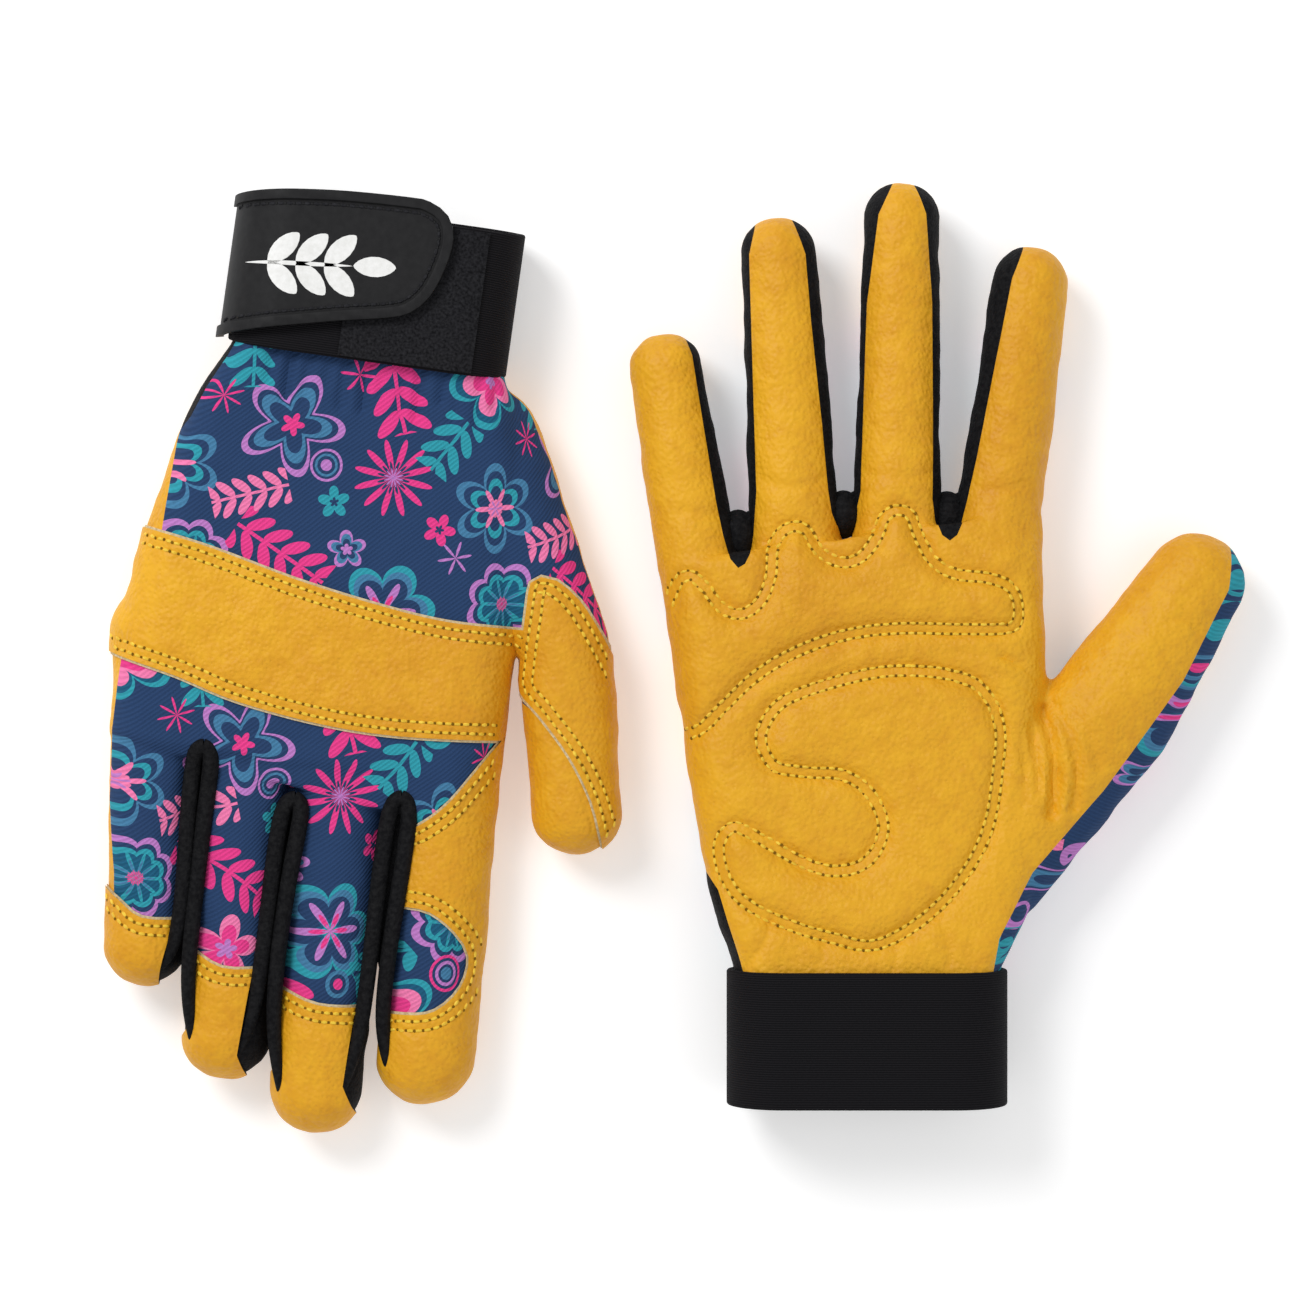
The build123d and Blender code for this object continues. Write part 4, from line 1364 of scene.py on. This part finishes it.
# ---- Wrist cuff ----
# A wide band of black ribbed elastic, with plush loop pile on the back where the strap lands.

CUFF_HALF, CUFF_RADIUS = 21, 14
CUFF_SPANS = {"gloveB": (0.3, 34.0, 0.0), "gloveA": (-2.6, 33.4, -7.0)}

ELASTIC, elastic_tree, elastic_shader = new_finish("ribbed elastic", 0.85)
elastic_map = node(elastic_tree, "UVMap", uv_map="cloth").outputs["UV"]
ribs = node(elastic_tree, "TexWave", {"Vector": elastic_map, "Scale": 55.0, "Distortion": 0.3},
    bands_direction="Y")
elastic_noise = node(elastic_tree, "TexNoise", {"Vector": elastic_map, "Scale": 220.0, "Detail": 3.0})
ribs_and_fuzz = math_in(elastic_tree, "ADD", ribs.outputs["Fac"], elastic_noise.outputs["Fac"])
elastic_colour = ramp(elastic_tree, math_in(elastic_tree, "MULTIPLY", ribs_and_fuzz, 0.5),
                      [(0.3, (0.003, 0.003, 0.004, 1)), (0.75, (0.012, 0.011, 0.013, 1))])
elastic_tree.links.new(elastic_colour.outputs["Color"], elastic_shader.inputs["Base Color"])
elastic_bump = node(elastic_tree, "Bump", {"Height": ribs_and_fuzz, "Strength": 0.3, "Distance": 0.0004})
elastic_tree.links.new(elastic_bump.outputs["Normal"], elastic_shader.inputs["Normal"])
elastic_shader.inputs["Specular IOR Level"].default_value = 0.12

PILE = nap_finish("loop pile", (0.022, 0.022, 0.025), (0.003, 0.003, 0.004))


def round_cuff(lengths, proud):
    """Points on the cuff's outline, by distance round it from the middle of the back towards the thumb."""
    radius = CUFF_RADIUS + proud
    size = np.abs(lengths)
    angle = np.clip((size - CUFF_HALF) / CUFF_RADIUS, 0, math.pi)
    past = np.clip(size - CUFF_HALF - math.pi * CUFF_RADIUS, 0, None)
    x = np.minimum(size, CUFF_HALF) + radius * np.sin(angle) - past
    return np.sign(lengths) * x, -radius * np.cos(angle)


def cuff_layer(prefix, start, end, edges, proud, thickness, finish, columns=120, rows=16):
    """A layer wrapped round the cuff between two distances, with its outside proud of the elastic."""
    glove = GLOVES[prefix]
    _, _, slant = CUFF_SPANS[prefix]
    bpy.ops.mesh.primitive_grid_add(x_subdivisions=columns, y_subdivisions=rows, size=1)
    layer = bpy.context.object
    flat = points_of(layer)
    lengths = start + (flat[:, 0] + 0.5) * (end - start)
    x, z = round_cuff(lengths, proud)
    low, high = edges
    y = low + (flat[:, 1] + 0.5) * (high - low) + z * math.tan(math.radians(slant))
    move_points(layer, np.column_stack([x, y, z + glove["cuff_middle"]]) * MM)
    pick(layer, lambda co: True)
    bpy.ops.mesh.remove_doubles(threshold=0.02 * MM)
    bpy.ops.mesh.flip_normals()
    finish_edit()
    layer.data.materials.append(finish)
    modify(layer, "SOLIDIFY", thickness=thickness * MM, offset=-1, use_even_offset=True)
    return layer


FULL_ROUND = 2 * CUFF_HALF + math.pi * CUFF_RADIUS
for prefix in GLOVES:
    low, high, _ = CUFF_SPANS[prefix]
    cuff = cuff_layer(prefix, -FULL_ROUND, FULL_ROUND, (low, high), 0, 2.3, ELASTIC, columns=160, rows=24)
    modify(cuff, "BEVEL", width=0.6 * MM, segments=3, limit_method="ANGLE", angle_limit=math.radians(50))
    settle(cuff, prefix, "wrist_cuff", "hand")
    patch = cuff_layer(prefix, -6, 27 if prefix == "gloveA" else 20, (low + 0.6, high - 0.6), 0.6, 0.8,
        PILE)
    modify(patch, "DISPLACE", texture=wrinkle, texture_coords="LOCAL", strength=0.25 * MM, mid_level=0.5)
    settle(patch, prefix, "loop_patch", "hand")

# ---- Wrist strap ----
# A moulded rubber tab, sewn to the cuff at the little-finger side, that pulls across the back of the wrist.
# It has a raised rim, a line of dark stitching and a plain leaf sprig in white.

RUBBER, rubber_tree, rubber_shader = new_finish("matte rubber", 0.6)
rubber_spot = node(rubber_tree, "TexCoord").outputs["Object"]
rubber_noise = node(rubber_tree, "TexNoise", {"Vector": rubber_spot, "Scale": 500.0, "Detail": 4.0})
rubber_colour = ramp(rubber_tree, rubber_noise.outputs["Fac"],
    [(0.3, (0.006, 0.006, 0.007, 1)), (0.7, (0.011, 0.011, 0.012, 1))])
rubber_tree.links.new(rubber_colour.outputs["Color"], rubber_shader.inputs["Base Color"])
rubber_bump = node(rubber_tree, "Bump", {"Height": rubber_noise.outputs["Fac"], "Strength": 0.15,
    "Distance": 0.0003})
rubber_tree.links.new(rubber_bump.outputs["Normal"], rubber_shader.inputs["Normal"])
rubber_shader.inputs["Specular IOR Level"].default_value = 0.22
WHITE_INK, ink_tree, ink_shader = new_finish("white ink", 0.5)
ink_spot = node(ink_tree, "TexCoord").outputs["Object"]
ink_noise = node(ink_tree, "TexNoise", {"Vector": ink_spot, "Scale": 800.0})
ink_colour = ramp(ink_tree, ink_noise.outputs["Fac"], [(0.3, (0.78, 0.78, 0.76, 1)),
    (0.7, (0.88, 0.88, 0.87, 1))])
ink_tree.links.new(ink_colour.outputs["Color"], ink_shader.inputs["Base Color"])
DARK_THREAD = nap_finish("dark thread", (0.030, 0.030, 0.034), (0.010, 0.010, 0.012))

# The tab's outline on the back of the cuff, from the little-finger side round its free end
TAB_EDGE = {
    "gloveA": [(-46, -0.4), (-31, -3.0), (-12, -5.2), (6, -6.0), (11.5, -5.6), (16.4, -2.8), (18.4, 2.5),
        (17.4, 10),
               (14.6, 17.5), (10.4, 22.0), (5.0, 24.0), (-6, 26.2), (-17.6, 28.8), (-38, 33.4), (-46, 34)],
    "gloveB": [(-46, 2), (-20, 2), (4, 2), (10, 3.6), (13.6, 8), (14, 17), (13, 25), (8, 30.6), (0, 32),
        (-20, 32), (-46, 32)],
}
TAB_WRAP = {"gloveA": math.pi / 2, "gloveB": math.radians(48)}
LEAVES_ON_TAB = [(-32, 0), (-26, 45), (-26, -45), (-19, 45), (-19, -45), (-12, 45), (-12, -45), (-5, 0)]


def leaf_outline(x, y, turn, length, width):
    """A pointed oval leaf that grows from x, y."""
    t = np.linspace(0, 2 * math.pi, 18, endpoint=False)
    u = length * (1 - np.cos(t)) / 2
    v = width / 2 * np.sin(t) * np.abs(np.sin(t)) ** 0.4
    c, s = math.cos(math.radians(turn)), math.sin(math.radians(turn))
    return list(zip(x + u * c - v * s, y + u * s + v * c))


def tab_layer(prefix, proud, thickness, finish):
    """The tab's whole wrap, before it is trimmed to its outline."""
    arc = CUFF_HALF + CUFF_RADIUS * TAB_WRAP[prefix]
    edges = (-9, 38)
    return cuff_layer(prefix, -arc - 0.1, 22, edges, proud, thickness, finish, columns=90, rows=30)


for prefix in GLOVES:
    edge = smooth_line(TAB_EDGE[prefix], step=2.5)
    middle = GLOVES[prefix]["cuff_middle"]
    outline = as_points(edge) + [(-60, edge[-1][1]), (-60, edge[0][1])]
    inset = beside(edge, 2.4)
    inner = as_points(inset) + [(-60, inset[-1][1]), (-60, inset[0][1])]
    tab = tab_layer(prefix, 2.3, 1.1, RUBBER)
    rim = tab_layer(prefix, 3.1, 0.9, RUBBER)
    for layer in (tab, rim):
        block = cutter(outline, high=middle + 20, finish=RUBBER)
        carve(layer, block, "INTERSECT")
        discard(block)
    block = cutter(inner, high=middle + 20, finish=RUBBER)
    carve(rim, block, "DIFFERENCE")
    discard(block)
    pieces = [tab, rim]
    for x, turn in LEAVES_ON_TAB:
        leaf = tab_layer(prefix, 2.42, 0.3, WHITE_INK)
        length, width = (27, 1.1) if x == -32 else (10.5, 5.0)
        block = cutter(leaf_outline(x, 13 - 0.09 * (x + 10), turn - 5, length, width), high=middle,
            finish=WHITE_INK)
        carve(leaf, block, "INTERSECT")
        discard(block)
        pieces.append(leaf)
    modify(rim, "BEVEL", width=0.35 * MM, segments=2, limit_method="ANGLE", angle_limit=math.radians(50))
    found = {}
    lay_row(found, prefix, beside(edge, 3.5), surface_tree(tab), -1, ("hand",))
    pieces.append(sewn_rows(found["hand"], DARK_THREAD, RUBBER))
    settle(join(pieces), prefix, "strap_tab", "strap")
    hook = cuff_layer(prefix, -6, 8, (8, 22), 1.25, 0.5, PILE, columns=20, rows=10)
    settle(hook, prefix, "strap_hook", "strap")
    arc = CUFF_HALF + CUFF_RADIUS * TAB_WRAP[prefix]
    anchor = cuff_layer(prefix, -arc - 5, -arc + 1, (3, 31), 0.5, 0.8, PILE, columns=20, rows=12)
    settle(anchor, prefix, "strap_anchor", "hand")

# ---- End ----
# The construction skins are removed.

for pair in SKINS.values():
    discard(*pair)
